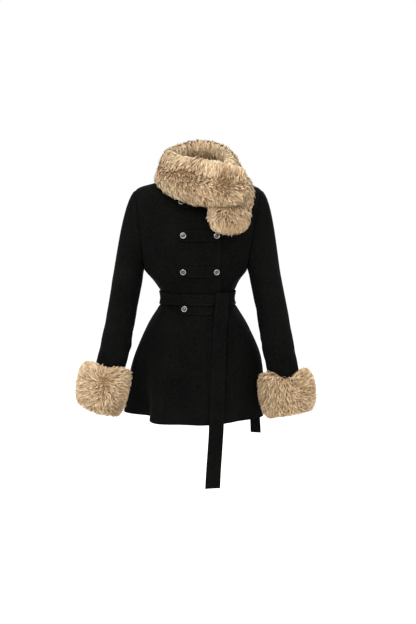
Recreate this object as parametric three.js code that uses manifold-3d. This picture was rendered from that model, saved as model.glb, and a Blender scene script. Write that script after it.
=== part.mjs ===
import * as THREE from 'three';
import Module from 'manifold-3d';

// Short double-breasted wool coat with set-in sleeves, a wrapped fur collar, fur cuffs and a tie belt,
// filled out as it is worn. Millimetres, +Z up. The front faces -Y and +X is the wearer's left.
// The origin lies between the shoulders, at the height where the neck meets them.

const wasm = await Module();
wasm.setup();

// Driving dimensions
const clothThickness = 2.2;
const seamGap = 0.4;
const restGap = 0.7;
const furGap = 0.95;
const underlapGap = 1.6;
const cuffGap = 1.3;
const overlapEdgeTop = 65;
const overlapEdgeHem = 76;
const underlapEdgeTop = -51;
const underlapEdgeHem = -62;
const armholeTopRight = 176;
const armholeTopLeft = 180;
const underarmRight = 154;
const underarmLeft = 142;
const beltWidth = 39;
const beltThickness = 3;
const beltMiddle = -339;
const beltGather = 5;
const tabRightEnd = -54;
const tabHeight = 29;
const tabThickness = 2.5;
const buttonDiameter = 17.5;
const buttonRimHeight = 0.1;
const hemHeight = -676;
const armholeCurve = 1.6;
const edgeBendHeight = -290;
const underlapBlendStart = 3;
const underlapBlendEnd = 17;

// Levels of the body from the neckline to the hem. The cloth's height is given at the side, front and
// back, its reach from the middle line to the wearer's right and left, the front and the back, and
// square says how full the corners are (2 is an ellipse). The seam columns are the angles of the
// princess seams, in degrees from the centre front.
const levels = [
  { name: 'neckline', side: 5, front: -60, back: 0, toRight: 70, toLeft: 82,
    toFront: 64, toBack: 60, square: 2, seamRight: 64, seamLeft: 64, seamBack: 120 },
  { name: 'mid shoulder', side: -13, front: -92, back: -26, toRight: 121, toLeft: 129,
    toFront: 82, toBack: 82, square: 2, seamRight: 64, seamLeft: 64, seamBack: 120 },
  { name: 'shoulder tip', side: -34, front: -122, back: -62, toRight: 176, toLeft: 180,
    toFront: 99, toBack: 95, square: 2.1, seamRight: 64, seamLeft: 64, seamBack: 120 },
  { name: 'upper arm', side: -88, front: -152, back: -108, toRight: 184, toLeft: 186,
    toFront: 110, toBack: 101, square: 2.2, seamRight: 64, seamLeft: 64, seamBack: 120 },
  { name: 'mid armhole', side: -150, front: -184, back: -160, toRight: 183, toLeft: 181,
    toFront: 117, toBack: 103, square: 2.2, seamRight: 64, seamLeft: 64, seamBack: 118 },
  { name: 'bust', side: -210, front: -222, back: -212, toRight: 172, toLeft: 164,
    toFront: 118, toBack: 101, square: 2.2, seamRight: 45, seamLeft: 46, seamBack: 134 },
  { name: 'underarm', side: -258, front: -258, back: -258, toRight: 154, toLeft: 142,
    toFront: 112, toBack: 95, square: 2.1, seamRight: 38, seamLeft: 42, seamBack: 142 },
  { name: 'midriff', side: -292, front: -292, back: -292, toRight: 126, toLeft: 118,
    toFront: 99, toBack: 86, square: 2.1, seamRight: 35, seamLeft: 40.5, seamBack: 147 },
  { name: 'waist top', side: -324, front: -326, back: -324, toRight: 107, toLeft: 105,
    toFront: 90, toBack: 80, square: 2.1, seamRight: 34, seamLeft: 40, seamBack: 149 },
  { name: 'waist', side: -360, front: -362, back: -360, toRight: 109, toLeft: 107,
    toFront: 92, toBack: 82, square: 2.1, seamRight: 33.5, seamLeft: 39, seamBack: 149 },
  { name: 'high hip', side: -420, front: -422, back: -420, toRight: 145, toLeft: 144,
    toFront: 112, toBack: 108, square: 2.1, seamRight: 33, seamLeft: 37, seamBack: 149 },
  { name: 'hip', side: -500, front: -502, back: -500, toRight: 175, toLeft: 180,
    toFront: 134, toBack: 131, square: 2.1, seamRight: 32, seamLeft: 35, seamBack: 149 },
  { name: 'upper skirt', side: -562, front: -564, back: -562, toRight: 187, toLeft: 189,
    toFront: 147, toBack: 143, square: 2.05, seamRight: 31.5, seamLeft: 34, seamBack: 149 },
  { name: 'lower skirt', side: -622, front: -624, back: -622, toRight: 191, toLeft: 187,
    toFront: 156, toBack: 151, square: 2, seamRight: 31, seamLeft: 33, seamBack: 149 },
  { name: 'hem', side: hemHeight + 2, front: hemHeight - 2, back: hemHeight, toRight: 192, toLeft: 182,
    toFront: 163, toBack: 157, square: 2, seamRight: 31, seamLeft: 33, seamBack: 149 },
];

const shoulderTip = 2;
const seamStart = 4.1;
const underarm = 6;
const hem = levels.length - 1;

// Flares and hollows of the skirt: the angle from the centre front, positive to the wearer's left,
// the half width in degrees, the rise from the plain skirt at the hem, and the height where it begins.
const folds = [
  { angle: -38, width: 12, rise: 17, begins: -400 },
  { angle: -63, width: 11, rise: -34, begins: -430 },
  { angle: -87, width: 12, rise: 27, begins: -400 },
  { angle: -109, width: 11, rise: -15, begins: -430 },
  { angle: -131, width: 12, rise: 15, begins: -410 },
  { angle: -155, width: 11, rise: -12, begins: -430 },
  { angle: 180, width: 13, rise: 13, begins: -410 },
  { angle: 156, width: 11, rise: -12, begins: -440 },
  { angle: 132, width: 13, rise: 16, begins: -400 },
  { angle: 106, width: 12, rise: -14, begins: -430 },
  { angle: 68, width: 14, rise: 19, begins: -400 },
  { angle: 41, width: 9, rise: -6, begins: -440 },
  { angle: -12, width: 9, rise: -4, begins: -460 },
];

const radians = Math.PI / 180;

function alongTable(rows, column, place) {
  const last = rows.length - 1;
  const start = Math.min(Math.max(Math.floor(place), 0), last - 1);
  const t = place - start;
  const at = (row) => rows[Math.min(Math.max(row, 0), last)][column];
  const [a, b, c, d] = [at(start - 1), at(start), at(start + 1), at(start + 2)];
  return 0.5 * (2 * b + (c - a) * t + (2 * a - 5 * b + 4 * c - d) * t * t + (3 * b - a - 3 * c + d) * t ** 3);
}

function smoothStep(low, high, value) {
  const t = Math.min(Math.max((value - low) / (high - low), 0), 1);
  return t * t * (3 - 2 * t);
}

function bisect(goes, low, high) {
  for (let step = 0; step < 40; step += 1) {
    const middle = (low + high) / 2;
    if (goes(middle)) low = middle;
    else high = middle;
  }
  return (low + high) / 2;
}

function foldRise(angle, height) {
  return folds.reduce((sum, fold) => {
    const grown = Math.max((fold.begins - height) / (fold.begins - hemHeight), 0) ** 1.3;
    const away = ((angle - fold.angle + 540) % 360 - 180) / fold.width;
    return sum + fold.rise * grown * Math.exp(-away * away);
  }, 0);
}

// A point of the coat's outer surface
function coatPoint(angle, level) {
  const sine = Math.sin(angle * radians);
  const cosine = Math.cos(angle * radians);
  const reachX = alongTable(levels, sine < 0 ? 'toRight' : 'toLeft', level);
  const reachY = alongTable(levels, cosine > 0 ? 'toFront' : 'toBack', level);
  const square = alongTable(levels, 'square', level);
  const round = Math.abs(sine / reachX) ** square + Math.abs(cosine / reachY) ** square;
  const middle = alongTable(levels, cosine > 0 ? 'front' : 'back', level);
  const z = alongTable(levels, 'side', level) * sine * sine + middle * cosine * cosine;
  const radius = round ** (-1 / square) + foldRise(angle, z);
  return new THREE.Vector3(radius * sine, -radius * cosine, z);
}

function coatNormal(angle, level) {
  const step = 0.02;
  const above = Math.max(level - step, 0);
  const below = Math.min(level + step, hem);
  const around = coatPoint(angle + 1, level).sub(coatPoint(angle - 1, level));
  const down = coatPoint(angle, below).sub(coatPoint(angle, above));
  return down.cross(around).normalize();
}

function coatOffset(angle, level, out) {
  return coatPoint(angle, level).addScaledVector(coatNormal(angle, level), out);
}

// The angle on a level where the front lies at a given x
function angleAtX(x, level) {
  return bisect((angle) => coatPoint(angle, level).x < x, -89, 89);
}

// The level on an angle where the surface has a given height
function levelAtZ(z, angle) {
  return bisect((level) => coatPoint(angle, level).z > z, 0, hem);
}

// The place on the front with a given x and height
function placeOnFront(x, z) {
  let place = { angle: 0, level: levelAtZ(z, 0) };
  for (let pass = 0; pass < 8; pass += 1) {
    const angle = angleAtX(x, place.level);
    place = { angle, level: levelAtZ(z, angle) };
  }
  return place;
}

function straightEdge(top, bottom) {
  return (level) => {
    const z = alongTable(levels, 'front', level);
    const share = Math.min(Math.max((z - edgeBendHeight) / (hemHeight - edgeBendHeight), 0), 1);
    return angleAtX(top + (bottom - top) * share, level);
  };
}

// Where the armhole cuts a level, on the front or the back of one side
function armholeAngle(level, side, atBack) {
  if (level <= shoulderTip || level >= underarm) return side * 90;
  const top = side < 0 ? armholeTopRight : armholeTopLeft;
  const low = side < 0 ? underarmRight : underarmLeft;
  const share = (level - shoulderTip) / (underarm - shoulderTip);
  const cut = low + (top - low) * (1 - share) ** armholeCurve;
  const inside = (turn) => Math.abs(coatPoint(side * (atBack ? 180 - turn : turn), level).x) < cut;
  const turn = bisect(inside, 20, 90);
  return side * (atBack ? 180 - turn : turn);
}

// A closed solid between two grids of points with the same rows and columns
function solidBetween(outer, inner, isRing = false) {
  const rowCount = outer.length;
  const columnCount = outer[0].length;
  const positions = [...outer.flat(), ...inner.flat()].flatMap((point) => [point.x, point.y, point.z]);
  const half = rowCount * columnCount;
  const index = [];
  const at = (row, column, side) => side * half + row * columnCount + (column % columnCount);
  const quad = (a, b, c, d) => index.push(a, b, c, a, c, d);
  const lastColumn = isRing ? columnCount : columnCount - 1;
  for (let row = 0; row < rowCount - 1; row += 1) {
    for (let column = 0; column < lastColumn; column += 1) {
      quad(at(row, column, 0), at(row + 1, column, 0), at(row + 1, column + 1, 0), at(row, column + 1, 0));
      quad(at(row, column, 1), at(row, column + 1, 1), at(row + 1, column + 1, 1), at(row + 1, column, 1));
    }
  }
  for (let column = 0; column < lastColumn; column += 1) {
    const end = rowCount - 1;
    quad(at(0, column, 0), at(0, column + 1, 0), at(0, column + 1, 1), at(0, column, 1));
    quad(at(end, column, 0), at(end, column, 1), at(end, column + 1, 1), at(end, column + 1, 0));
  }
  for (let row = 0; row < rowCount - 1 && !isRing; row += 1) {
    const end = columnCount - 1;
    quad(at(row, 0, 0), at(row, 0, 1), at(row + 1, 0, 1), at(row + 1, 0, 0));
    quad(at(row, end, 0), at(row + 1, end, 0), at(row + 1, end, 1), at(row, end, 1));
  }
  return facingOut(positions, index);
}

// A closed solid through rings of points, with a fan of triangles on each end
function solidThrough(rings) {
  const count = rings[0].length;
  const centres = [rings[0], rings.at(-1)].map((ring) => ring
    .reduce((sum, point) => sum.add(point), new THREE.Vector3()).divideScalar(count));
  const positions = [...rings.flat(), ...centres].flatMap((point) => [point.x, point.y, point.z]);
  const firstCentre = rings.length * count;
  const index = [];
  for (let ring = 0; ring < rings.length - 1; ring += 1) {
    for (let k = 0; k < count; k += 1) {
      const next = (k + 1) % count;
      const [a, b] = [ring * count + k, ring * count + next];
      index.push(a, b, b + count, a, b + count, a + count);
    }
  }
  const lastRing = (rings.length - 1) * count;
  for (let k = 0; k < count; k += 1) {
    const next = (k + 1) % count;
    index.push(firstCentre, next, k);
    index.push(firstCentre + 1, lastRing + k, lastRing + next);
  }
  return facingOut(positions, index);
}

// Geometry from points and triangles, turned so that the faces point out
function facingOut(positions, index) {
  const corner = (k) => new THREE.Vector3().fromArray(positions, index[k] * 3);
  let volume = 0;
  for (let k = 0; k < index.length; k += 3) {
    volume += corner(k).dot(corner(k + 1).cross(corner(k + 2)));
  }
  if (volume < 0) {
    for (let k = 0; k < index.length; k += 3) [index[k + 1], index[k + 2]] = [index[k + 2], index[k + 1]];
  }
  const geometry = new THREE.BufferGeometry();
  geometry.setAttribute('position', new THREE.Float32BufferAttribute(positions, 3));
  geometry.setIndex(index);
  return geometry;
}

function toManifold(geometry) {
  const vertProperties = Float32Array.from(geometry.attributes.position.array);
  const triVerts = Uint32Array.from(geometry.index.array);
  return new wasm.Manifold(new wasm.Mesh({ numProp: 3, vertProperties, triVerts }));
}

function fromManifold(solid) {
  const mesh = solid.getMesh();
  return facingOut(Array.from(mesh.vertProperties), Array.from(mesh.triVerts));
}

function cutAway(geometry, cutters) {
  const whole = toManifold(geometry);
  return fromManifold(cutters.reduce((solid, cutter) => solid.subtract(toManifold(cutter)), whole));
}

// Levels at which every panel has a row of points
const rowLevels = [0, 0.5, 1, 1.5, 2, 2.12, 2.4, 2.8, 3.3, 3.7, 4.05, 4.1, 4.5, 4.9, 5.3, 5.7, 6, 6.5, 7, 7.5,
  8, 8.5, 9, 9.5, 10, 10.5, 11, 12, 13, 14];

// A panel of cloth between two edges, each an angle for every level. inset moves it under a neighbour.
function panelSolid({ from, to, columns, top = 0, inset = () => 0, seamFrom = 1, seamTo = 1 }) {
  const rows = [top, ...rowLevels.filter((level) => level > top)];
  const grids = [0, clothThickness].map((depth) => rows.map((level) => {
    const [start, end] = [from(level), to(level)];
    const width = coatPoint(end, level).distanceTo(coatPoint(start, level));
    const gap = (seamGap / 2) * (end - start) / Math.max(width, 1);
    const [first, last] = [start + gap * seamFrom, end - gap * seamTo];
    return Array.from({ length: columns + 1 }, (_, column) => {
      const angle = first + (last - first) * column / columns;
      return coatOffset(angle, level, -depth - inset(angle, level));
    });
  }));
  return solidBetween(grids[0], grids[1]);
}

const frontEdge = straightEdge(overlapEdgeTop, overlapEdgeHem);
const underEdge = straightEdge(underlapEdgeTop, underlapEdgeHem);

// The angle of a princess seam, which starts just inside the armhole
function princessAngle(side, column) {
  const startInside = 1.2;
  const turn = (level) => alongTable(levels, column, level);
  if (column === 'seamBack') {
    return (level) => side * Math.max(turn(level), Math.abs(armholeAngle(level, side, true)) + startInside);
  }
  return (level) => side * Math.min(turn(level), Math.abs(armholeAngle(level, side, false)) - startInside);
}

// The wearer's left front runs under the right one, and comes level with it past the edge.
function underlapInset(angle, level) {
  const past = coatPoint(angle, level).x - coatPoint(frontEdge(level), level).x;
  return (clothThickness + underlapGap) * (1 - smoothStep(underlapBlendStart, underlapBlendEnd, past));
}

function frontPanelEnd(side, column) {
  const princess = princessAngle(side, column);
  return (level) => (level < seamStart ? armholeAngle(level, side, false) : princess(level));
}

function sideFrontPanel(side, column) {
  return panelSolid({
    from: princessAngle(side, column),
    to: (level) => armholeAngle(level, side, false),
    columns: side < 0 ? 12 : 9,
    top: seamStart,
    inset: side > 0 ? underlapInset : undefined,
  });
}

function sideBackPanel(side) {
  return panelSolid({
    from: princessAngle(side, 'seamBack'),
    to: (level) => armholeAngle(level, side, true),
    columns: 8,
    top: seamStart,
  });
}

function backPanel() {
  const edge = (side) => (level) => {
    const seam = princessAngle(side, 'seamBack');
    const angle = level < seamStart ? armholeAngle(level, side, true) : seam(level);
    return side < 0 ? angle + 360 : angle;
  };
  return panelSolid({ from: edge(1), to: edge(-1), columns: 10 });
}

// Sleeves. Each row is a section across the arm: its middle and its half width and half depth.
const sleeveSections = {
  right: [
    { x: -202, y: -12, z: -290, halfWidth: 42.5, halfDepth: 56 },
    { x: -217, y: -34, z: -380, halfWidth: 41.5, halfDepth: 52 },
    { x: -229, y: -66, z: -455, halfWidth: 42.5, halfDepth: 49 },
    { x: -243, y: -96, z: -520, halfWidth: 41.5, halfDepth: 46 },
    { x: -260, y: -118, z: -580, halfWidth: 39.5, halfDepth: 43 },
    { x: -274, y: -130, z: -640, halfWidth: 37.5, halfDepth: 41 },
  ],
  left: [
    { x: 195, y: -12, z: -290, halfWidth: 44.5, halfDepth: 57 },
    { x: 212, y: -38, z: -380, halfWidth: 44.5, halfDepth: 53 },
    { x: 223, y: -74, z: -455, halfWidth: 45.5, halfDepth: 49 },
    { x: 235, y: -107, z: -520, halfWidth: 44, halfDepth: 46 },
    { x: 246, y: -134, z: -580, halfWidth: 41, halfDepth: 43 },
    { x: 255, y: -150, z: -640, halfWidth: 38.5, halfDepth: 41 },
  ],
};

function sleeveFrame(side, place) {
  const rows = sleeveSections[side < 0 ? 'right' : 'left'];
  const at = (where) => {
    const [x, y, z] = ['x', 'y', 'z'].map((column) => alongTable(rows, column, where));
    return new THREE.Vector3(x, y, z);
  };
  const axis = at(Math.min(place + 0.1, rows.length - 1)).sub(at(Math.max(place - 0.1, 0))).normalize();
  const out = new THREE.Vector3(side, 0, 0).addScaledVector(axis, -side * axis.x).normalize();
  const front = new THREE.Vector3().crossVectors(axis, out).multiplyScalar(side).normalize();
  return {
    middle: at(place), axis, out, front,
    halfWidth: alongTable(rows, 'halfWidth', place),
    halfDepth: alongTable(rows, 'halfDepth', place),
  };
}

function sleevePoint(side, place, turn, grow = 0) {
  const { middle, out, front, halfWidth, halfDepth } = sleeveFrame(side, place);
  return middle.clone()
    .addScaledVector(out, (halfWidth + grow) * Math.cos(turn * radians))
    .addScaledVector(front, (halfDepth + grow) * Math.sin(turn * radians));
}

// The armhole as a loop from the shoulder down the front and up the back, with the turn round the arm
function armholeLoop(side) {
  const steps = rowLevels.filter((level) => level >= shoulderTip && level <= underarm);
  const points = (atBack) => steps.map((level) => coatPoint(armholeAngle(level, side, atBack), level));
  const turns = (line) => {
    const lengths = line.map((point, k) => (k ? point.distanceTo(line[k - 1]) : 0));
    const total = lengths.reduce((sum, length) => sum + length, 0);
    let sum = 0;
    return lengths.map((length) => 180 * (sum += length) / total);
  };
  const [frontLine, backLine] = [points(false), points(true)];
  const [frontTurns, backTurns] = [turns(frontLine), turns(backLine)];
  const loop = frontLine.map((point, k) => ({ point, turn: frontTurns[k] }));
  for (let k = backLine.length - 2; k > 0; k -= 1) {
    loop.push({ point: backLine[k], turn: 360 - backTurns[k] });
  }
  return loop;
}

function hermite(start, startRun, end, endRun, t) {
  const [t2, t3] = [t * t, t * t * t];
  return start.clone().multiplyScalar(2 * t3 - 3 * t2 + 1)
    .addScaledVector(startRun, t3 - 2 * t2 + t)
    .addScaledVector(end, 3 * t2 - 2 * t3)
    .addScaledVector(endRun, t3 - t2);
}

const capSteps = [0, 0.1, 0.24, 0.4, 0.58, 0.78];
const armSteps = [0, 0.6, 1.25, 1.9, 2.5, 3.2, 4, 4.8];

// How the sleeve leaves the armhole, at the shoulder and at the underarm: the length of its first run, how
// far that run points outwards and down, and the length of the run into the first section of the arm
const capRuns = {
  shoulder: { length: 110, outward: 0.95, fall: 0.35, arrive: 170 },
  underarm: { length: 50, outward: 0.35, fall: 0.95, arrive: 60 },
};

function capRun(column, down) {
  return capRuns.shoulder[column] + (capRuns.underarm[column] - capRuns.shoulder[column]) * down;
}

function sleevePanel(side) {
  const loop = armholeLoop(side);
  const heights = loop.map(({ point }) => point.z);
  const [top, low] = [Math.max(...heights), Math.min(...heights)];
  const { axis } = sleeveFrame(side, 0);
  const away = new THREE.Vector3(side, 0, -0.4).normalize();
  const rows = capSteps.map((t) => loop.map(({ point, turn }) => {
    const down = (top - point.z) / (top - low);
    const startRun = new THREE.Vector3(side * capRun('outward', down), 0, -capRun('fall', down));
    startRun.multiplyScalar(capRun('length', down));
    const endRun = axis.clone().multiplyScalar(capRun('arrive', down));
    const start = point.clone().addScaledVector(away, seamGap);
    return hermite(start, startRun, sleevePoint(side, 0, turn), endRun, t);
  }));
  armSteps.forEach((place) => rows.push(loop.map(({ turn }) => sleevePoint(side, place, turn))));
  const inner = rows.map((row, r) => row.map((point, c) => {
    const around = row[(c + 1) % row.length].clone().sub(row[(c + row.length - 1) % row.length]);
    const along = rows[Math.min(r + 1, rows.length - 1)][c].clone().sub(rows[Math.max(r - 1, 0)][c]);
    const inward = around.cross(along).normalize().multiplyScalar(-side * clothThickness);
    return point.clone().add(inward);
  }));
  return solidBetween(rows, inner, true);
}

// Fur cuffs: rounded rings over the ends of the sleeves. A row is a place down the cuff, from its upper
// edge (0) to its lower edge (1), and how far the fur stands off the sleeve.
const cuffProfile = [
  { down: 0, grow: 22 }, { down: 0.14, grow: 33 }, { down: 0.35, grow: 38 }, { down: 0.58, grow: 39.5 },
  { down: 0.8, grow: 36 }, { down: 0.95, grow: 27 }, { down: 1, grow: 13 },
];
// Each cuff's edges on the sleeve, how far its upper edge sags at the front and on the outer side and its
// lower edge rises there, how much its outer side leans, and how full the side turned to the skirt is
const cuffEdges = {
  right: { upper: 3.08, lower: 5.14, frontSag: 0.2, outerSag: 0.08, outerRise: 0.2,
    lean: 0.45, skirtSide: 0.78 },
  left: { upper: 3.28, lower: 5.2, frontSag: 0.42, outerSag: 0.1, outerRise: 0.08,
    lean: 0.3, skirtSide: 1 },
};
const cuffInset = 0.05;
const cuffStraightFrom = 4.9;

function cuffRing(side) {
  const turns = Array.from({ length: 20 }, (_, k) => k * 18);
  const edges = cuffEdges[side < 0 ? 'right' : 'left'];
  const outer = cuffProfile.map(({ down, grow }) => turns.map((turn) => {
    const [place, fullness] = cuffShape(edges, down, turn);
    return cuffPoint(side, place, turn, grow * fullness);
  }));
  const inner = cuffProfile.map(({ down }) => turns.map((turn) => {
    const [place] = cuffShape(edges, cuffInset + (1 - 2 * cuffInset) * down, turn);
    return cuffPoint(side, place, turn, cuffGap);
  }));
  return solidBetween(outer, inner, true);
}

// Where a point of the cuff lies along the sleeve, and how full the fur is there
function cuffShape(edges, down, turn) {
  const sideways = Math.cos(THREE.MathUtils.degToRad(turn));
  const front = Math.max(Math.sin(THREE.MathUtils.degToRad(turn)), 0) ** 5;
  const outer = Math.max(sideways, 0);
  const sag = (edges.frontSag * front + edges.outerSag * outer) * (1 - down);
  const place = edges.upper + (edges.lower - edges.upper) * down + sag - edges.outerRise * outer * down;
  const lean = 1 + edges.lean * outer * (0.5 - down);
  return [place, lean * (1 - (1 - edges.skirtSide) * Math.max(-sideways, 0))];
}

// Past the last section the cuff runs straight on along the arm.
function cuffPoint(side, place, turn, grow) {
  if (place <= cuffStraightFrom) return sleevePoint(side, place, turn, grow);
  const step = 0.2;
  const end = sleeveFrame(side, cuffStraightFrom);
  const perPlace = end.middle.distanceTo(sleeveFrame(side, cuffStraightFrom - step).middle) / step;
  const run = end.axis.clone().multiplyScalar((place - cuffStraightFrom) * perPlace);
  return sleevePoint(side, cuffStraightFrom, turn, grow).add(run);
}

// Fur collar: two bands that meet at the centre back. The right one crosses the front over the left one,
// which ends in a hanging lobe. up points to the band's upper edge.
const collarBands = {
  right: [
    { x: 8, y: 70, z: 47, upX: 0, upY: -0.12, upZ: 1, width: 132, thick: 50 },
    { x: -24, y: 67, z: 46, upX: 0.1, upY: -0.16, upZ: 0.98, width: 128, thick: 51 },
    { x: -62, y: 44, z: 42, upX: 0.28, upY: -0.14, upZ: 0.95, width: 111, thick: 53 },
    { x: -90, y: -2, z: 28, upX: 0.36, upY: 0, upZ: 0.93, width: 106, thick: 56 },
    { x: -62, y: -62, z: 4, upX: 0.25, upY: 0.3, upZ: 0.92, width: 114, thick: 58 },
    { x: -2, y: -100, z: -16, upX: 0.05, upY: 0.25, upZ: 0.96, width: 126, thick: 57 },
    { x: 50, y: -122, z: -22, upX: 0, upY: 0.16, upZ: 0.98, width: 124, thick: 54 },
    { x: 96, y: -134, z: -25, upX: -0.1, upY: 0.1, upZ: 0.98, width: 110, thick: 50 },
    { x: 132, y: -134, z: -28, upX: -0.1, upY: 0.1, upZ: 0.98, width: 96, thick: 44 },
  ],
  left: [
    { x: 8, y: 70, z: 47, upX: 0, upY: -0.12, upZ: 1, width: 132, thick: 50 },
    { x: 42, y: 67, z: 45, upX: -0.1, upY: -0.16, upZ: 0.98, width: 128, thick: 51 },
    { x: 80, y: 44, z: 36, upX: -0.3, upY: -0.14, upZ: 0.94, width: 112, thick: 53 },
    { x: 108, y: 0, z: 8, upX: -0.55, upY: 0, upZ: 0.83, width: 112, thick: 54 },
    { x: 104, y: -62, z: -34, upX: -0.85, upY: -0.05, upZ: 0.5, width: 114, thick: 54 },
    { x: 88, y: -106, z: -86, upX: -1, upY: 0, upZ: 0.08, width: 118, thick: 52 },
    { x: 86, y: -118, z: -126, upX: -1, upY: 0, upZ: 0, width: 118, thick: 50 },
    { x: 85, y: -122, z: -158, upX: -1, upY: 0, upZ: 0, width: 112, thick: 44 },
  ],
};

const bandSides = 14;
const bandRound = 2.6;
const endRoundings = { right: 0.62, left: 1.4 };
const endCurves = { right: 2.4, left: 2.1 };
const smallestEnd = 0.16;

function collarBand(name, grow = 0) {
  const rows = collarBands[name];
  const last = rows.length - 1;
  const endRounding = endRoundings[name];
  const vectorAt = (columns, place) => {
    const [x, y, z] = columns.map((column) => alongTable(rows, column, place));
    return new THREE.Vector3(x, y, z);
  };
  const places = [];
  for (let place = 0; place < last - endRounding; place += 0.5) places.push(place);
  [0, 0.35, 0.62, 0.82, 0.94, 1].forEach((share) => places.push(last - endRounding * (1 - share)));
  const rings = places.map((place, k) => {
    const middle = vectorAt(['x', 'y', 'z'], place);
    const ahead = vectorAt(['x', 'y', 'z'], Math.min(place + 0.05, last));
    const tangent = ahead.sub(vectorAt(['x', 'y', 'z'], Math.max(place - 0.05, 0))).normalize();
    if (k === 0) tangent.set(Math.sign(tangent.x), 0, 0);
    const up = vectorAt(['upX', 'upY', 'upZ'], place);
    up.addScaledVector(tangent, -up.dot(tangent)).normalize();
    const across = new THREE.Vector3().crossVectors(tangent, up);
    const past = Math.max(0, (place - (last - endRounding)) / endRounding);
    const taper = Math.max(Math.sqrt(Math.max(1 - past ** endCurves[name], 0)), smallestEnd);
    if (k === 0) middle.addScaledVector(tangent, seamGap / 2 - grow);
    return Array.from({ length: bandSides }, (_, side) => {
      const turn = (side + 0.5) * 2 * Math.PI / bandSides;
      const [cosine, sine] = [Math.cos(turn), Math.sin(turn)];
      const reach = (Math.abs(cosine) ** bandRound + Math.abs(sine) ** bandRound) ** (-1 / bandRound);
      const halfWidth = (alongTable(rows, 'width', place) / 2) * taper + grow;
      const halfThick = (alongTable(rows, 'thick', place) / 2) * Math.sqrt(taper) + grow;
      return middle.clone().addScaledVector(up, cosine * reach * halfWidth)
        .addScaledVector(across, sine * reach * halfThick);
    });
  });
  return solidThrough(rings);
}

// The filled outer form of the upper coat, used to shape what lies on it
function coatForm(out) {
  const angles = Array.from({ length: 48 }, (_, k) => k * 7.5);
  return solidThrough(rowLevels.filter((level) => level <= underarm)
    .map((level) => angles.map((angle) => coatOffset(angle, level, out))));
}

// Button rows: the height of the row, where its two buttons sit and where its strap ends on the left. The
// belt's long end covers the lowest left button.
const buttonRows = [
  { name: 'row_1', z: -71, rightX: -45.7, leftX: 60, strapEnd: 62 },
  { name: 'row_2', z: -161, rightX: -38.6, leftX: 52.6, strapEnd: 62 },
  { name: 'row_3', z: -258, rightX: -38.2, leftX: 51.4, strapEnd: 62 },
  { name: 'row_4', z: -365.5, rightX: -35.4, leftX: 53, strapEnd: 63 },
];

const tabCorner = 12;
const tabEndHeight = 0.45;
const tabBow = 1.5;

// A strap across both buttons of a row, with round ends and a slightly hanging lower edge
function tabSolid({ z, strapEnd }, grow = 0) {
  const columns = 12;
  const middle = (strapEnd + tabRightEnd) / 2;
  const halfLength = (strapEnd - tabRightEnd) / 2 + grow;
  const halfHeight = tabHeight / 2 + grow;
  const grid = (out) => [1, 0.35, -0.35, -1].map((up) => Array.from({ length: columns + 1 }, (_, column) => {
    const along = -Math.cos(Math.PI * column / columns);
    const fromEnd = (1 - Math.abs(along)) * halfLength;
    const end = fromEnd < tabCorner ? Math.sqrt(1 - (1 - fromEnd / tabCorner) ** 2) : 1;
    const bow = up < 0 ? tabBow * (1 - along * along) : 0;
    const high = halfHeight * (tabEndHeight + (1 - tabEndHeight) * end) + bow;
    const { angle, level } = placeOnFront(middle + along * halfLength, z + up * high);
    return coatOffset(angle, level, out);
  }));
  return solidBetween(grid(restGap + tabThickness + grow), grid(grow ? -1 : restGap));
}

// Shank button: a raised ring round a low dome
const buttonProfile = [
  { radius: 0, height: 0 }, { radius: 0.42, height: 0 }, { radius: 0.5, height: 0.08 },
  { radius: 0.48, height: 0.2 }, { radius: 0.4, height: 0.27 }, { radius: 0.32, height: 0.2 },
  { radius: 0.18, height: 0.25 }, { radius: 0, height: 0.28 },
];

function buttonSolid(x, z, grow = 0) {
  const points = buttonProfile.map(({ radius, height }) => new THREE.Vector2(
    radius ? radius * buttonDiameter + grow : 0,
    height * buttonDiameter + (height > buttonRimHeight ? grow : -grow),
  ));
  const lathe = new THREE.LatheGeometry(points, 12);
  const { angle, level } = placeOnFront(x, z);
  const seat = coatOffset(angle, level, 2 * restGap + tabThickness);
  const facing = coatNormal(angle, level);
  const turn = new THREE.Quaternion().setFromUnitVectors(new THREE.Vector3(0, 1, 0), facing);
  lathe.applyQuaternion(turn).translate(seat.x, seat.y, seat.z);
  return weld(lathe);
}

// A geometry whose shared corners are merged
function weld(geometry) {
  const keys = new Map();
  const positions = [];
  const source = geometry.attributes.position;
  const mapped = Array.from({ length: source.count }, (_, k) => {
    const place = [source.getX(k), source.getY(k), source.getZ(k)];
    const key = place.map((value) => value.toFixed(4)).join();
    if (!keys.has(key)) {
      keys.set(key, keys.size);
      positions.push(...place);
    }
    return keys.get(key);
  });
  const index = [];
  for (let k = 0; k < geometry.index.count; k += 3) {
    const [a, b, c] = [0, 1, 2].map((corner) => mapped[geometry.index.getX(k + corner)]);
    if (a !== b && b !== c && c !== a) index.push(a, b, c);
  }
  return facingOut(positions, index);
}

const beltRise = 1.6;
const beltFrontRise = 2.6;
const beltFrontAngle = 44;
const beltSideAngle = 66;

// The belt stands off the front, where it crosses the lowest strap, and is pulled narrower there.
function beltPoint(angle, up, out) {
  const away = Math.abs((angle + 540) % 360 - 180);
  const atFront = 1 - smoothStep(beltFrontAngle, beltSideAngle, away);
  const height = beltMiddle + up * (beltWidth - beltGather * atFront);
  const rise = beltRise + beltFrontRise * atFront;
  return coatOffset(angle, levelAtZ(height, angle), rise + out);
}

function beltRing() {
  const angles = Array.from({ length: 48 }, (_, k) => k * 7.5);
  const grid = (out) => [0.5, 0, -0.5].map((up) => angles.map((angle) => beltPoint(angle, up, out)));
  return solidBetween(grid(beltThickness), grid(0), true);
}

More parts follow.
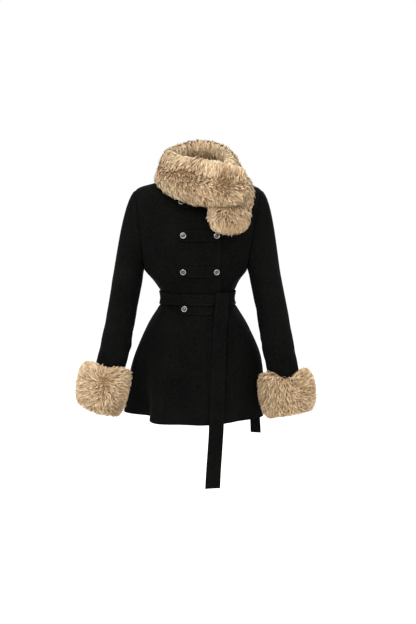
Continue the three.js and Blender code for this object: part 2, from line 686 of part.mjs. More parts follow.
// Belt ends, each folded over the belt's upper edge. A row is a place down the strip: how far its inner
// face is from the cloth, its width, and where it twists, the angle it faces. The long end is placed by x
// on the front and the short one by angle. Past the hem they hang free, at an x of their own.
const longTail = [
  { z: -322, x: 65, out: 4.4, width: 39 },
  { z: -322, x: 65, out: 8.2, width: 39 },
  { z: -325, x: 65, out: 9.6, width: 39.5 },
  { z: -342, x: 64.5, out: 9.8, width: 39.5 },
  { z: -378, x: 63, out: 9.6, width: 39 },
  { z: -400, x: 62, out: 7, width: 39 },
  { z: -430, x: 60.5, out: 4.6, width: 39 },
  { z: -500, x: 57.5, out: 3.6, width: 39.5 },
  { z: -580, x: 54.5, out: 3.2, width: 40.5 },
  { z: -640, x: 52.5, out: 3, width: 41.5 },
  { z: -672, x: 51, out: 3, width: 42 },
  { z: -760, x: 47, width: 42 },
  { z: -857, x: 41.5, width: 42.5 },
];
const shortTail = [
  { z: -319.6, angle: 122, out: 1.8, width: 34 },
  { z: -319.6, angle: 122, out: 4.8, width: 34 },
  { z: -323, angle: 122, out: 6.2, width: 34 },
  { z: -342, angle: 121.5, out: 6.8, width: 34 },
  { z: -372, angle: 121, out: 6, width: 34 },
  { z: -420, angle: 119, out: 4, width: 34 },
  { z: -500, angle: 117, out: 4, width: 34 },
  { z: -580, angle: 115, out: 5, width: 34 },
  { z: -640, angle: 114, out: 12, width: 34, facing: 130 },
  { z: -700, x: 171, y: 92, width: 33, facing: 150 },
  { z: -768, x: 175, y: 92, width: 32, facing: 166 },
];
const tailThickness = 2.6;
const longTailTurn = 0.8;

// A flat strip that lies on the coat and hangs straight past the hem
function tailSolid(rows) {
  const corners = [[-0.5, 0], [0.5, 0], [0.5, 1], [-0.5, 1]];
  const stations = [];
  rows.forEach(({ z, x, y, angle, out, width, facing }) => {
    const place = angle === undefined ? placeOnFront(x, z) : { angle, level: levelAtZ(z, angle) };
    const normal = coatNormal(place.angle, place.level).setZ(0).normalize();
    if (angle === undefined) normal.setX(normal.x * longTailTurn).normalize();
    if (facing) normal.set(Math.sin(facing * radians), -Math.cos(facing * radians), 0);
    const across = new THREE.Vector3(-normal.y, normal.x, 0);
    const point = out === undefined
      ? new THREE.Vector3(x, y ?? stations.at(-1).point.y, z)
      : coatPoint(place.angle, place.level).addScaledVector(normal, out).setZ(z);
    stations.push({ point, normal, across, width });
  });
  const rings = stations.map(({ point, normal, across, width }, k) => {
    const before = stations[Math.max(k - 1, 0)].point;
    const along = stations[Math.min(k + 1, stations.length - 1)].point.clone().sub(before);
    const outward = new THREE.Vector3().crossVectors(along, across).normalize();
    if (k > 1 && outward.dot(normal) < 0) outward.negate();
    if (k <= 1 && outward.z < 0) outward.negate();
    return corners.map(([side, high]) => point.clone()
      .addScaledVector(across, side * width).addScaledVector(outward, high * tailThickness));
  });
  return solidThrough(rings);
}

const wool = { color: 0x131316, roughness: 0.95, metalness: 0 };
const fur = { color: 0xc3a582, roughness: 1, metalness: 0 };
const gunmetal = { color: 0x8b8a88, roughness: 0.35, metalness: 0.9 };

const coat = new THREE.Group();

function addPiece(name, geometry, finish) {
  geometry.computeVertexNormals();
  const piece = new THREE.Mesh(geometry, new THREE.MeshStandardMaterial(finish));
  piece.name = name;
  coat.add(piece);
}

addPiece('front_right', panelSolid({
  from: frontPanelEnd(-1, 'seamRight'), to: frontEdge, columns: 10, seamTo: 0,
}), wool);
addPiece('front_left', panelSolid({
  from: underEdge, to: frontPanelEnd(1, 'seamLeft'), columns: 10, inset: underlapInset, seamFrom: 0,
}), wool);
addPiece('side_front_right', sideFrontPanel(-1, 'seamRight'), wool);
addPiece('side_front_left', sideFrontPanel(1, 'seamLeft'), wool);
addPiece('back_centre', backPanel(), wool);
addPiece('side_back_right', sideBackPanel(-1), wool);
addPiece('side_back_left', sideBackPanel(1), wool);
addPiece('sleeve_right', sleevePanel(-1), wool);
addPiece('sleeve_left', sleevePanel(1), wool);

const form = coatForm(furGap);
const rowCutters = buttonRows.slice(0, 2).flatMap((row) => [
  tabSolid(row, restGap), buttonSolid(row.rightX, row.z, restGap), buttonSolid(row.leftX, row.z, restGap),
]);
addPiece('collar_fur_right', cutAway(collarBand('right'), [form, ...rowCutters]), fur);
addPiece('collar_fur_left', cutAway(collarBand('left'), [
  form, collarBand('right', restGap), ...rowCutters,
]), fur);
addPiece('cuff_fur_right', cuffRing(-1), fur);
addPiece('cuff_fur_left', cuffRing(1), fur);

addPiece('belt', beltRing(), wool);
addPiece('belt_tail_long', tailSolid(longTail), wool);
addPiece('belt_tail_short', tailSolid(shortTail), wool);
buttonRows.forEach((row) => {
  addPiece(`tab_${row.name}`, tabSolid(row), wool);
  addPiece(`button_${row.name}_right`, buttonSolid(row.rightX, row.z), gunmetal);
  addPiece(`button_${row.name}_left`, buttonSolid(row.leftX, row.z), gunmetal);
});

export default coat;
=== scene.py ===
import math

import bpy
import numpy as np
from mathutils import Euler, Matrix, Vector, kdtree


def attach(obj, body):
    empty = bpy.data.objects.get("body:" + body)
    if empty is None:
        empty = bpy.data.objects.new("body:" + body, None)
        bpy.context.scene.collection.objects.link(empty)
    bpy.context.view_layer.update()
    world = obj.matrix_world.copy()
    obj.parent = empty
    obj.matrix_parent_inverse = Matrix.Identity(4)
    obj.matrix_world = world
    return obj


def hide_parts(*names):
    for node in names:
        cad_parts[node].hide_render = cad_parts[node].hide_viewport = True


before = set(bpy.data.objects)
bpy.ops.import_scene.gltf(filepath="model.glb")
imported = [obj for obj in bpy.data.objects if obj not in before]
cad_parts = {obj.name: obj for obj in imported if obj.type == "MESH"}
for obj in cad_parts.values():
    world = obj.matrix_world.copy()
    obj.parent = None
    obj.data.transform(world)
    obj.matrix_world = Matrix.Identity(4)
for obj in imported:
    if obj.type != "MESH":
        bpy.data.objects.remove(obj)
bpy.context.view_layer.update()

toMetres = 0.001
perMetre = 1000

# Sizes of the coat, in millimetres as in the frame
clothThickness = 2.2
seamGap = 0.4
restGap = 0.7
underlapGap = 1.6
hemHeight = -676
beltWidth = 39
beltThickness = 3
beltMiddle = -339
beltGather = 5
tabRightEnd = -54
tabHeight = 29
tabThickness = 2.5
tailThickness = 2.6
buttonDiameter = 17.5

levelColumns = ("side", "front", "back", "toRight", "toLeft", "toFront", "toBack", "square",
                "seamRight", "seamLeft", "seamBack")
levelRows = [
    (5, -60, 0, 70, 82, 64, 60, 2, 64, 64, 120),
    (-13, -92, -26, 121, 129, 82, 82, 2, 64, 64, 120),
    (-34, -122, -62, 176, 180, 99, 95, 2.1, 64, 64, 120),
    (-88, -152, -108, 184, 186, 110, 101, 2.2, 64, 64, 120),
    (-150, -184, -160, 183, 181, 117, 103, 2.2, 64, 64, 118),
    (-210, -222, -212, 172, 164, 118, 101, 2.2, 45, 46, 134),
    (-258, -258, -258, 154, 142, 112, 95, 2.1, 38, 42, 142),
    (-292, -292, -292, 126, 118, 99, 86, 2.1, 35, 40.5, 147),
    (-324, -326, -324, 107, 105, 90, 80, 2.1, 34, 40, 149),
    (-360, -362, -360, 109, 107, 92, 82, 2.1, 33.5, 39, 149),
    (-420, -422, -420, 145, 144, 112, 108, 2.1, 33, 37, 149),
    (-500, -502, -500, 175, 180, 134, 131, 2.1, 32, 35, 149),
    (-562, -564, -562, 187, 189, 147, 143, 2.05, 31.5, 34, 149),
    (-622, -624, -622, 191, 187, 156, 151, 2, 31, 33, 149),
    (-674, -678, -676, 192, 182, 163, 157, 2, 31, 33, 149),
]
levels = {name: np.array([row[k] for row in levelRows], float) for k, name in enumerate(levelColumns)}
shoulderTip, seamStart, underarm, hem = 2, 4.1, 6, len(levelRows) - 1

# Skirt flares: angle, width, rise at the hem, height where it begins
folds = [
    (-38, 12, 17, -400), (-63, 11, -34, -430), (-87, 12, 27, -400), (-109, 11, -15, -430),
    (-131, 12, 15, -410), (-155, 11, -12, -430), (180, 13, 13, -410), (156, 11, -12, -440),
    (132, 13, 16, -400), (106, 12, -14, -430), (68, 14, 19, -400), (41, 9, -6, -440), (-12, 9, -4, -460),
]


def alongTable(values, place):
    place = np.asarray(place, float)
    last = len(values) - 1
    start = np.clip(np.floor(place).astype(int), 0, last - 1)
    t = place - start
    a, b, c, d = (values[np.clip(start + k, 0, last)] for k in (-1, 0, 1, 2))
    bend = (2 * a - 5 * b + 4 * c - d) * t * t
    return 0.5 * (2 * b + (c - a) * t + bend + (3 * b - a - 3 * c + d) * t ** 3)


def smoothStep(low, high, value):
    t = np.clip((np.asarray(value, float) - low) / (high - low), 0, 1)
    return t * t * (3 - 2 * t)


def bisect(goes, low, high, shape):
    low, high = np.full(shape, float(low)), np.full(shape, float(high))
    for _ in range(26):
        middle = (low + high) / 2
        further = goes(middle)
        low, high = np.where(further, middle, low), np.where(further, high, middle)
    return (low + high) / 2


def unit(vectors):
    return vectors / np.maximum(np.linalg.norm(vectors, axis=-1, keepdims=True), 1e-9)


def fromTurn(angle, centre):
    return (angle - centre + 540) % 360 - 180


def coatPoint(angle, level):
    angle, level = np.broadcast_arrays(np.asarray(angle, float), np.asarray(level, float))
    sine, cosine = np.sin(np.radians(angle)), np.cos(np.radians(angle))
    at = {name: alongTable(levels[name], level) for name in levelColumns[:8]}
    reachX = np.where(sine < 0, at["toRight"], at["toLeft"])
    reachY = np.where(cosine > 0, at["toFront"], at["toBack"])
    z = at["side"] * sine ** 2 + np.where(cosine > 0, at["front"], at["back"]) * cosine ** 2
    full = np.abs(sine / reachX) ** at["square"] + np.abs(cosine / reachY) ** at["square"]
    radius = full ** (-1 / at["square"])
    for centre, width, rise, begins in folds:
        grown = np.maximum((begins - z) / (begins - hemHeight), 0) ** 1.3
        away = fromTurn(angle, centre) / width
        radius = radius + rise * grown * np.exp(-away ** 2)
    return np.stack([radius * sine, -radius * cosine, z], -1)


def coatNormal(angle, level):
    angle, level = np.broadcast_arrays(np.asarray(angle, float), np.asarray(level, float))
    around = coatPoint(angle + 1, level) - coatPoint(angle - 1, level)
    down = coatPoint(angle, np.minimum(level + 0.02, hem)) - coatPoint(angle, np.maximum(level - 0.02, 0))
    return unit(np.cross(down, around))


def coatOffset(angle, level, out):
    return coatPoint(angle, level) + coatNormal(angle, level) * np.asarray(out, float)[..., None]


def angleAtX(x, level):
    x, level = np.broadcast_arrays(np.asarray(x, float), np.asarray(level, float))
    return bisect(lambda angle: coatPoint(angle, level)[..., 0] < x, -89, 89, x.shape)


def levelAtZ(z, angle):
    z, angle = np.broadcast_arrays(np.asarray(z, float), np.asarray(angle, float))
    return bisect(lambda level: coatPoint(angle, level)[..., 2] > z, 0, hem, z.shape)


def placeOnFront(x, z):
    x, z = np.broadcast_arrays(np.asarray(x, float), np.asarray(z, float))
    angle, level = np.zeros(x.shape), levelAtZ(z, np.zeros(x.shape))
    for _ in range(5):
        angle = angleAtX(x, level)
        level = levelAtZ(z, angle)
    return angle, level


def straightEdge(top, bottom):
    def at(level):
        share = np.clip((alongTable(levels["front"], level) + 290) / (hemHeight + 290), 0, 1)
        return angleAtX(top + (bottom - top) * share, level)
    return at


# Half widths of the coat between the armholes, at the shoulder's tip and under the arm
armholeCuts = {-1: (176, 154), 1: (180, 142)}


def armholeAngle(level, side, atBack):
    level = np.asarray(level, float)
    top, low = armholeCuts[side]
    share = np.clip((level - shoulderTip) / (underarm - shoulderTip), 0, 1)
    cut = low + (top - low) * (1 - share) ** 1.6
    angleOf = lambda turn: side * (180 - turn if atBack else turn)
    turn = bisect(lambda t: np.abs(coatPoint(angleOf(t), level)[..., 0]) < cut, 20, 90, level.shape)
    return np.where((level <= shoulderTip) | (level >= underarm), side * 90.0, angleOf(turn))


def princess(side, column):
    def at(level):
        turn = alongTable(levels[column], level)
        if column == "seamBack":
            return side * np.maximum(turn, np.abs(armholeAngle(level, side, True)) + 1.2)
        return side * np.minimum(turn, np.abs(armholeAngle(level, side, False)) - 1.2)
    return at


# Meshes

def makeObject(name, points, faces, material, smooth=True):
    mesh = bpy.data.meshes.new(name)
    faces = np.asarray(faces, np.int32)
    size = faces.shape[1]
    mesh.vertices.add(len(points))
    mesh.vertices.foreach_set("co", (np.asarray(points) * toMetres).astype(np.float32).ravel())
    mesh.loops.add(faces.size)
    mesh.loops.foreach_set("vertex_index", faces.ravel())
    mesh.polygons.add(len(faces))
    mesh.polygons.foreach_set("loop_start", np.arange(len(faces), dtype=np.int32) * size)
    mesh.polygons.foreach_set("use_smooth", np.full(len(faces), smooth))
    mesh.update(calc_edges=True)
    mesh.validate()
    mesh.materials.append(material)
    thing = bpy.data.objects.new(name, mesh)
    bpy.context.scene.collection.objects.link(thing)
    return thing


def shellFaces(rows, columns, ring=False):
    half = rows * columns
    lastColumn = columns if ring else columns - 1
    r, c = np.meshgrid(np.arange(rows - 1), np.arange(lastColumn), indexing="ij")
    r, c = r.ravel(), c.ravel()
    at = lambda row, column, side: side * half + row * columns + column % columns
    faces = [
        np.stack([at(r, c, 0), at(r + 1, c, 0), at(r + 1, c + 1, 0), at(r, c + 1, 0)], 1),
        np.stack([at(r, c, 1), at(r, c + 1, 1), at(r + 1, c + 1, 1), at(r + 1, c, 1)], 1),
    ]
    c = np.arange(lastColumn)
    end = rows - 1
    faces.append(np.stack([at(0, c, 0), at(0, c + 1, 0), at(0, c + 1, 1), at(0, c, 1)], 1))
    faces.append(np.stack([at(end, c, 0), at(end, c, 1), at(end, c + 1, 1), at(end, c + 1, 0)], 1))
    if not ring:
        r = np.arange(rows - 1)
        end = columns - 1
        faces.append(np.stack([at(r, 0, 0), at(r, 0, 1), at(r + 1, 0, 1), at(r + 1, 0, 0)], 1))
        faces.append(np.stack([at(r, end, 0), at(r + 1, end, 0), at(r + 1, end, 1), at(r, end, 1)], 1))
    return np.concatenate(faces)


def facingOut(points, faces):
    corners = points[faces]
    volume = np.einsum("ij,ij->i", corners[:, 0], np.cross(corners[:, 1], corners[:, 2])).sum()
    volume += np.einsum("ij,ij->i", corners[:, 0], np.cross(corners[:, 2], corners[:, 3])).sum()
    return faces if volume > 0 else faces[:, ::-1]


def shell(name, outer, inner, material, ring=False):
    rows, columns = outer.shape[:2]
    points = np.concatenate([outer.reshape(-1, 3), inner.reshape(-1, 3)])
    return makeObject(name, points, facingOut(points, shellFaces(rows, columns, ring)), material)


def place(piece, *nodes, slotName):
    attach(piece, "root")
    if nodes:
        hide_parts(*nodes)
    return piece


# Materials

def linear(code):
    channels = [int(code[k:k + 2], 16) / 255 for k in (1, 3, 5)]
    return [c / 12.92 if c <= 0.04045 else ((c + 0.055) / 1.055) ** 2.4 for c in channels]


def newMaterial(name, **values):
    material = bpy.data.materials.new(name)
    material.use_nodes = True
    shader = material.node_tree.nodes["Principled BSDF"]
    for key, value in values.items():
        socket = shader.inputs[key.replace("_", " ")]
        socket.default_value = (*value, 1) if socket.type == "RGBA" else value
    return material, shader


def addNode(material, kind, links=(), **settings):
    node = material.node_tree.nodes.new(kind)
    for key, value in settings.items():
        if key in node.inputs:
            node.inputs[key].default_value = value
        else:
            setattr(node, key, value)
    for socket, source in links:
        material.node_tree.links.new(source, node.inputs[socket])
    return node


def link(material, source, target):
    material.node_tree.links.new(source, target)


# Felted wool: a matt near-black cloth whose short nap catches a faint sheen at the edges. Its grain is given
# in marks to a millimetre. Real fibres are too fine to show, so these are drawn about a millimetre long.
woolGrain = {"fibres": 0.9, "napPatches": 0.045, "weft": (0.16, 0.16, 0.48), "clouds": 0.013,
             "cloudShare": 0.35, "spread": (0.5, 0.86), "dark": "#030303", "light": "#0f0f0e", "napHeight": 0.6}
wool, woolShader = newMaterial(
    "feltedWool", Roughness=0.92, Specular_IOR_Level=0.035,
    Sheen_Weight=0.01, Sheen_Roughness=0.6, Sheen_Tint=linear("#908e8c"), IOR=1.5)
onCloth = [("Vector", addNode(wool, "ShaderNodeTexCoord").outputs["Object"])]
fibre = addNode(wool, "ShaderNodeTexNoise", onCloth,
                Scale=woolGrain["fibres"] * perMetre, Detail=4.0, Roughness=0.7)
patches = addNode(wool, "ShaderNodeTexNoise", onCloth, Scale=woolGrain["napPatches"] * perMetre, Detail=3.0)
napHeights = [(0, fibre.outputs["Fac"]), (1, patches.outputs["Fac"])]
nap = addNode(wool, "ShaderNodeMath", napHeights, operation="ADD")
# Slubs run along the weft, and the nap lies a little lighter or darker in soft patches.
weft = addNode(wool, "ShaderNodeMapping", onCloth)
weft.inputs["Scale"].default_value = [count * perMetre for count in woolGrain["weft"]]
slubs = addNode(wool, "ShaderNodeTexNoise", [("Vector", weft.outputs["Vector"])],
                Scale=1.0, Detail=3.0, Roughness=0.65)
clouds = addNode(wool, "ShaderNodeTexNoise", onCloth, Scale=woolGrain["clouds"] * perMetre, Detail=2.0)
soft = addNode(wool, "ShaderNodeMath", [(0, clouds.outputs["Fac"])], operation="MULTIPLY")
soft.inputs[1].default_value = woolGrain["cloudShare"]
shade = addNode(wool, "ShaderNodeMath", [(0, slubs.outputs["Fac"]), (1, soft.outputs[0])], operation="ADD")
spread = addNode(wool, "ShaderNodeMapRange", [("Value", shade.outputs[0])])
spread.inputs["From Min"].default_value, spread.inputs["From Max"].default_value = woolGrain["spread"]
dyed = addNode(wool, "ShaderNodeMix", [("Factor", spread.outputs[0])], data_type="RGBA")
for k, tone in ((6, "dark"), (7, "light")):
    dyed.inputs[k].default_value = (*linear(woolGrain[tone]), 1)
link(wool, dyed.outputs[2], woolShader.inputs["Base Color"])
napBump = addNode(wool, "ShaderNodeBump", [("Height", nap.outputs[0])],
                  Strength=0.35, Distance=woolGrain["napHeight"] * toMetres)
link(wool, napBump.outputs["Normal"], woolShader.inputs["Normal"])

# Gunmetal plate: the buttons' dark mirror with a bright rim
gunmetal, _ = newMaterial(
    "gunmetalPlate", Base_Color=linear("#9a9794"), Metallic=1.0, Roughness=0.16)

# Gunmetal in the dome's middle: a darker copy of the plate, its colour painted dark to stand for the dark
# reflection the dome shows
gunmetalReflectionShade, _ = newMaterial(
    "gunmetalPaintedReflection", Base_Color=linear("#55504c"), Metallic=1.0, Roughness=0.28)

# Sewing thread: smooth black polyester, a little brighter than the wool under it
thread, _ = newMaterial("sewingThread", Base_Color=linear("#141414"), Roughness=0.5, Specular_IOR_Level=0.3)

# Fur: warm strands, coloured along their length
furMaterial, furShader = newMaterial(
    "fauxFurStrand", Roughness=0.62, Specular_IOR_Level=0.3, Sheen_Weight=0.15, Sheen_Roughness=0.5,
    Sheen_Tint=linear("#fff0dc"))
strandColour = addNode(furMaterial, "ShaderNodeAttribute", attribute_name="strandColour")
link(furMaterial, strandColour.outputs["Color"], furShader.inputs["Base Color"])

# Knitted backing of the fur, coloured mid brown as painted shade: it is seen only as the shadow between locks
backing, _ = newMaterial(
    "furShadeBacking", Base_Color=linear("#8d6e50"), Roughness=0.95, Specular_IOR_Level=0.1)

print("materials done")


# How a sheet of cloth was cut: its greatest width and length and its area, taken on its middle surface
def declareCut(piece, outer, inner, ring=False):
    middle = (outer + inner) / 2
    if ring:
        middle = np.concatenate([middle, middle[:, :1]], 1)
    slants = np.cross(middle[1:, 1:] - middle[:-1, :-1], middle[1:, :-1] - middle[:-1, 1:])
    area = np.linalg.norm(slants, axis=-1).sum() / 2
    width = np.linalg.norm(np.diff(middle, axis=1), axis=-1).sum(1).max()
    length = np.linalg.norm(np.diff(middle, axis=0), axis=-1).sum(0).max()
    flat = (round(width * toMetres, 3), round(length * toMetres, 3))
    area = min(round(float(area) * toMetres ** 2, 4), flat[0] * flat[1])
    print("cut", piece.name, flat, area)


stitch = {"pitch": 3.6, "long": 2.5, "thick": 0.5}


# Short stitches of thread along lines of points, with the way the cloth faces at each point
def stitches(name, lines):
    corners = []
    for points, normals in lines:
        down = np.concatenate([[0], np.cumsum(np.linalg.norm(np.diff(points, axis=0), axis=1))])
        at = np.arange(stitch["pitch"], down[-1] - stitch["pitch"], stitch["pitch"])
        on = lambda spots, values: np.stack([np.interp(spots, down, values[:, k]) for k in range(3)], 1)
        middle, facing = on(at, points), unit(on(at, normals))
        ahead = unit(on(at + 1, points) - on(at - 1, points)) * stitch["long"] / 2
        sideways = unit(np.cross(facing, ahead)) * stitch["thick"] / 2
        high = facing * stitch["thick"] / 2
        waist = [middle + sideways, middle + high, middle - sideways, middle - high]
        corners.append(np.stack([middle - ahead, *waist, middle + ahead], 1))
    corners = np.concatenate(corners)
    sides = np.array([(0, 1, 2), (0, 2, 3), (0, 3, 4), (0, 4, 1), (5, 2, 1), (5, 3, 2), (5, 4, 3), (5, 1, 4)])
    faces = (np.arange(len(corners))[:, None, None] * corners.shape[1] + sides[None]).reshape(-1, 3)
    piece = makeObject(f"{name}_thread", corners.reshape(-1, 3), faces, thread, smooth=False)
    return place(piece, slotName="wool_cloth")


def seamLine(outer, inner, column):
    return outer[:, column], unit(outer[:, column] - inner[:, column])


# Cloth panels

# Soft hollows and ridges drawn in by the belt: angle, half width in degrees, rise, reach above the belt
# and below it
gathers = [
    (-8, 4, 1.0, 34, 46), (-22, 5, -1.6, 46, 60), (-34, 4.5, 1.8, 58, 40), (-49, 6, -2.2, 44, 66),
    (-64, 5, 2.0, 62, 70), (-77, 5, -1.8, 38, 44), (-92, 6, 2.2, 70, 76), (-108, 5, -2.0, 46, 52),
    (-124, 6, 1.7, 54, 64), (-143, 7, -1.9, 42, 70), (-163, 6, 1.8, 60, 50), (176, 7, -1.5, 48, 66),
    (158, 6, 1.9, 66, 58), (141, 5, -1.8, 40, 62), (124, 6, 1.6, 52, 44), (108, 5, -2.0, 60, 74),
    (93, 6, 2.1, 44, 58), (77, 5, -1.7, 62, 48), (61, 5, 1.9, 50, 66), (47, 5, -1.6, 36, 54),
    (28, 4, -0.9, 30, 40), (12, 5, 0.8, 40, 36),
]
# Drag lines: start and end, each as an angle and a height, half width and rise
drags = [
    (-60, -205, -20, -262, 9, 1.5), (-66, -240, -30, -286, 7, -1.3), (-84, -262, -52, -296, 8, 1.4),
    (58, -210, 32, -256, 9, 1.2), (64, -246, 40, -290, 7, -1.2), (86, -266, 58, -300, 8, 1.3),
    (-38, -140, -18, -170, 8, -0.9), (-36, -232, -20, -256, 6, 0.8), (118, -236, 150, -300, 10, 1.6),
    (-120, -240, -152, -296, 10, 1.5), (168, -190, -170, -230, 12, 1.2), (-30, -470, -16, -610, 9, 1.4),
    (24, -450, 14, -600, 10, -1.5), (-20, -430, -8, -560, 8, -1.3), (20, -385, 12, -600, 9, -4.2),
    (52, -470, 50, -640, 9, 1.6), (84, -480, 92, -650, 9, -1.8), (-74, -470, -76, -650, 8, -1.2),
    (120, -470, 118, -640, 10, -1.6), (-120, -480, -121, -650, 9, -1.5), (-143, -480, -143, -650, 8, 1.4),
    (168, -480, 169, -650, 9, 1.3), (144, -470, 144, -640, 8, -1.4), (-168, -480, -167, -650, 8, -1.3),
]


def relief(angle, points):
    z = points[..., 2]
    reach = np.hypot(points[..., 0], points[..., 1])
    total = np.zeros(z.shape)
    for centre, width, rise, above, below in gathers:
        away = fromTurn(angle, centre) / width
        up = z - (beltMiddle + beltWidth / 2)
        down = (beltMiddle - beltWidth / 2) - z
        grown = np.where(up > 0, smoothStep(0, 9, up) * np.exp(-(up / above) ** 2), 0)
        grown = np.where(down > 0, smoothStep(0, 9, down) * np.exp(-(down / below) ** 2), grown)
        total += rise * grown * np.exp(-away ** 2)
    for a0, z0, a1, z1, width, rise in drags:
        span = fromTurn(a1, a0)
        acrossX = np.radians(fromTurn(angle, a0)) * reach
        runX, runZ = np.radians(span) * reach.mean(), z1 - z0
        run = math.hypot(float(runX), runZ)
        along = (acrossX * runX + (z - z0) * runZ) / run
        side = (acrossX * runZ - (z - z0) * runX) / run
        bow = 5 * np.sin(np.clip(along / run, 0, 1) * math.pi)
        fade = smoothStep(-22, 26, along) * (1 - smoothStep(run - 26, run + 22, along))
        total += rise * fade * np.exp(-((side - bow) / width) ** 2)
    return total * calm(points)


# Where straps, belt ends or the collar lie on the cloth, its creases die away.
def calm(points):
    x, y, z = points[..., 0], points[..., 1], points[..., 2]
    quiet = np.ones(z.shape)
    front = y < -20
    for height in rowHeights:
        under = (1 - smoothStep(16, 30, np.abs(z - height))) * (1 - smoothStep(62, 78, np.abs(x - 4)))
        quiet *= 1 - np.where(front, under, 0)
    tailX = 67 - 16 * np.clip((-322 - z) / 350, 0, 1)
    under = (1 - smoothStep(22, 28, np.abs(x - tailX))) * (z < -300)
    quiet *= 1 - np.where(front, under, 0)
    shortAngle = np.degrees(np.arctan2(x, -y))
    under = (1 - smoothStep(10, 17, np.abs(shortAngle - 118))) * (z < -300)
    quiet *= 1 - under
    quiet *= smoothStep(-40, -120, z)
    return quiet


# Rows of buttons: height, places of the right and the left button, end of the strap
buttonRows = [("row_1", -71, -45.7, 60, 62), ("row_2", -161, -38.6, 52.6, 62),
              ("row_3", -258, -38.2, 51.4, 62), ("row_4", -365.5, -35.4, 53, 63)]
rowHeights = [row[1] for row in buttonRows]
edgeSteps = np.array([0, 0.25, 0.7, 1.3, 2.4, 4.2, 6.5])
edgeReach = edgeSteps[-1]
strapBlunt = 0.12


# How far a surface stands back near an edge that is rounded over half the cloth's thickness
def rounding(distance, thickness=clothThickness, blunt=0.16):
    share = np.clip(distance / (thickness / 2), 0, 1)
    return thickness / 2 * (1 - np.maximum(np.sqrt(1 - (1 - share) ** 2), blunt))


def seamDip(distance):
    return 0.65 * np.exp(-(distance / 2.4) ** 2)


def stitchGroove(distance, inset, depth, width=0.9):
    return depth * np.exp(-((distance - inset) / width) ** 2)


# One level is this many millimetres at the hem and at the neck
panel = {"levelAtHem": 54, "levelAtNeck": 34, "rowStep": 0.115, "seamLap": 0.12, "narrow": 30, "hemTurn": 38}


def clothPanel(name, fromEdge, toEdge, columns, top=0.0, inset=None, openFrom=False, openTo=False):
    hemRows = hem - edgeSteps[::-1] / panel["levelAtHem"]
    body = np.concatenate([np.arange(top, hem - 0.12, panel["rowStep"]), hemRows])
    if top == 0:
        besideTip = shoulderTip + np.array([0, 0.02, 0.045, 0.08, 0.12, 0.17, 0.22, 0.28, 0.34, 0.4])
        keep = (body > edgeReach / panel["levelAtNeck"] + 0.03) & (np.abs(body - seamStart) > 0.03)
        keep &= np.abs(body - shoulderTip - 0.2) > 0.22
        neckRows = edgeSteps / panel["levelAtNeck"]
        body = np.concatenate([neckRows, body[keep], besideTip, [seamStart - 0.004, seamStart]])
        body.sort()
    start, end = fromEdge(body), toEdge(body)
    width = np.linalg.norm(coatPoint(end, body) - coatPoint(start, body), axis=-1)
    lap = panel["seamLap"] * (end - start) / np.maximum(width, 1)
    start, end = start - lap * (not openFrom), end + lap * (not openTo)
    narrow = np.minimum(1, width / panel["narrow"])[:, None]
    near = edgeSteps[None, :] * narrow
    across = np.linspace(0, 1, columns)[None, 1:-1]
    inner = edgeReach * narrow + (width[:, None] - 2 * edgeReach * narrow) * across
    distance = np.concatenate([near, inner, width[:, None] - near[:, ::-1]], 1)
    share = distance / width[:, None]
    angle = start[:, None] + (end - start)[:, None] * share
    level = np.broadcast_to(body[:, None], angle.shape)
    points, normals = coatPoint(angle, level), coatNormal(angle, level)
    out = relief(angle, points)
    out = out * smoothStep(0, 6, np.minimum(distance, width[:, None] - distance) / narrow)
    roll = np.zeros(out.shape)
    for fromHere, isOpen in ((distance, openFrom), (width[:, None] - distance, openTo)):
        roll = np.maximum(roll, rounding(fromHere / narrow))
        if not isOpen:
            out = out - seamDip(fromHere / narrow)
    fromHem = (hem - level) * panel["levelAtHem"]
    roll = np.maximum(roll, rounding(fromHem))
    # The hem is turned up and caught inside, which leaves a faint uneven line.
    caught = 0.5 + 0.5 * np.sin(angle * 1.9)
    out = out - stitchGroove(fromHem, panel["hemTurn"] + 2 * np.sin(angle * 0.21), 0.35, 2.2) * caught
    out = out + 0.5 * np.exp(-(fromHem / 14) ** 2) * np.sin(angle * 0.37 + 1.2 * np.sin(angle * 0.11))
    if top == 0:
        roll = np.maximum(roll, rounding(level * panel["levelAtNeck"]))
    if inset is not None:
        out = out - inset(angle, level)
    outer = points + normals * (out - roll)[..., None]
    under = points + normals * (out - clothThickness + roll)[..., None]
    piece = place(shell(f"{name}_cloth", outer, under, wool), name, slotName="wool_cloth")
    sewn = [stitches(name, [seamLine(outer[8:], under[8:], -7)])] if openTo else []
    declareCut(piece, outer, under)


frontEdge, underEdge = straightEdge(65, 76), straightEdge(-51, -62)


def underlapInset(angle, level):
    edge = coatPoint(frontEdge(level[:, 0]), level[:, 0])[:, 0]
    past = coatPoint(angle, level)[..., 0] - edge[:, None]
    return (clothThickness + underlapGap) * (1 - smoothStep(3, 17, past))


def frontEnd(side, column):
    seam = princess(side, column)
    return lambda level: np.where(level < seamStart - 0.002, armholeAngle(level, side, False), seam(level))


def backEnd(side):
    seam = princess(side, "seamBack")
    return lambda level: (np.where(level < seamStart - 0.002, armholeAngle(level, side, True), seam(level))
                          + (360 if side < 0 else 0))


def armhole(side, atBack):
    return lambda level: armholeAngle(level, side, atBack)


sideTop = seamStart - 0.006
clothPanel("front_right", frontEnd(-1, "seamRight"), frontEdge, 34, openTo=True)
clothPanel("front_left", underEdge, frontEnd(1, "seamLeft"), 34, inset=underlapInset, openFrom=True)
clothPanel("side_front_right", princess(-1, "seamRight"), armhole(-1, False), 32, top=sideTop)
clothPanel("side_front_left", princess(1, "seamLeft"), armhole(1, False), 26, top=sideTop, inset=underlapInset)
clothPanel("back_centre", backEnd(1), backEnd(-1), 36)
clothPanel("side_back_right", princess(-1, "seamBack"), armhole(-1, True), 24, top=sideTop)
clothPanel("side_back_left", princess(1, "seamBack"), armhole(1, True), 24, top=sideTop)
print("panels done")

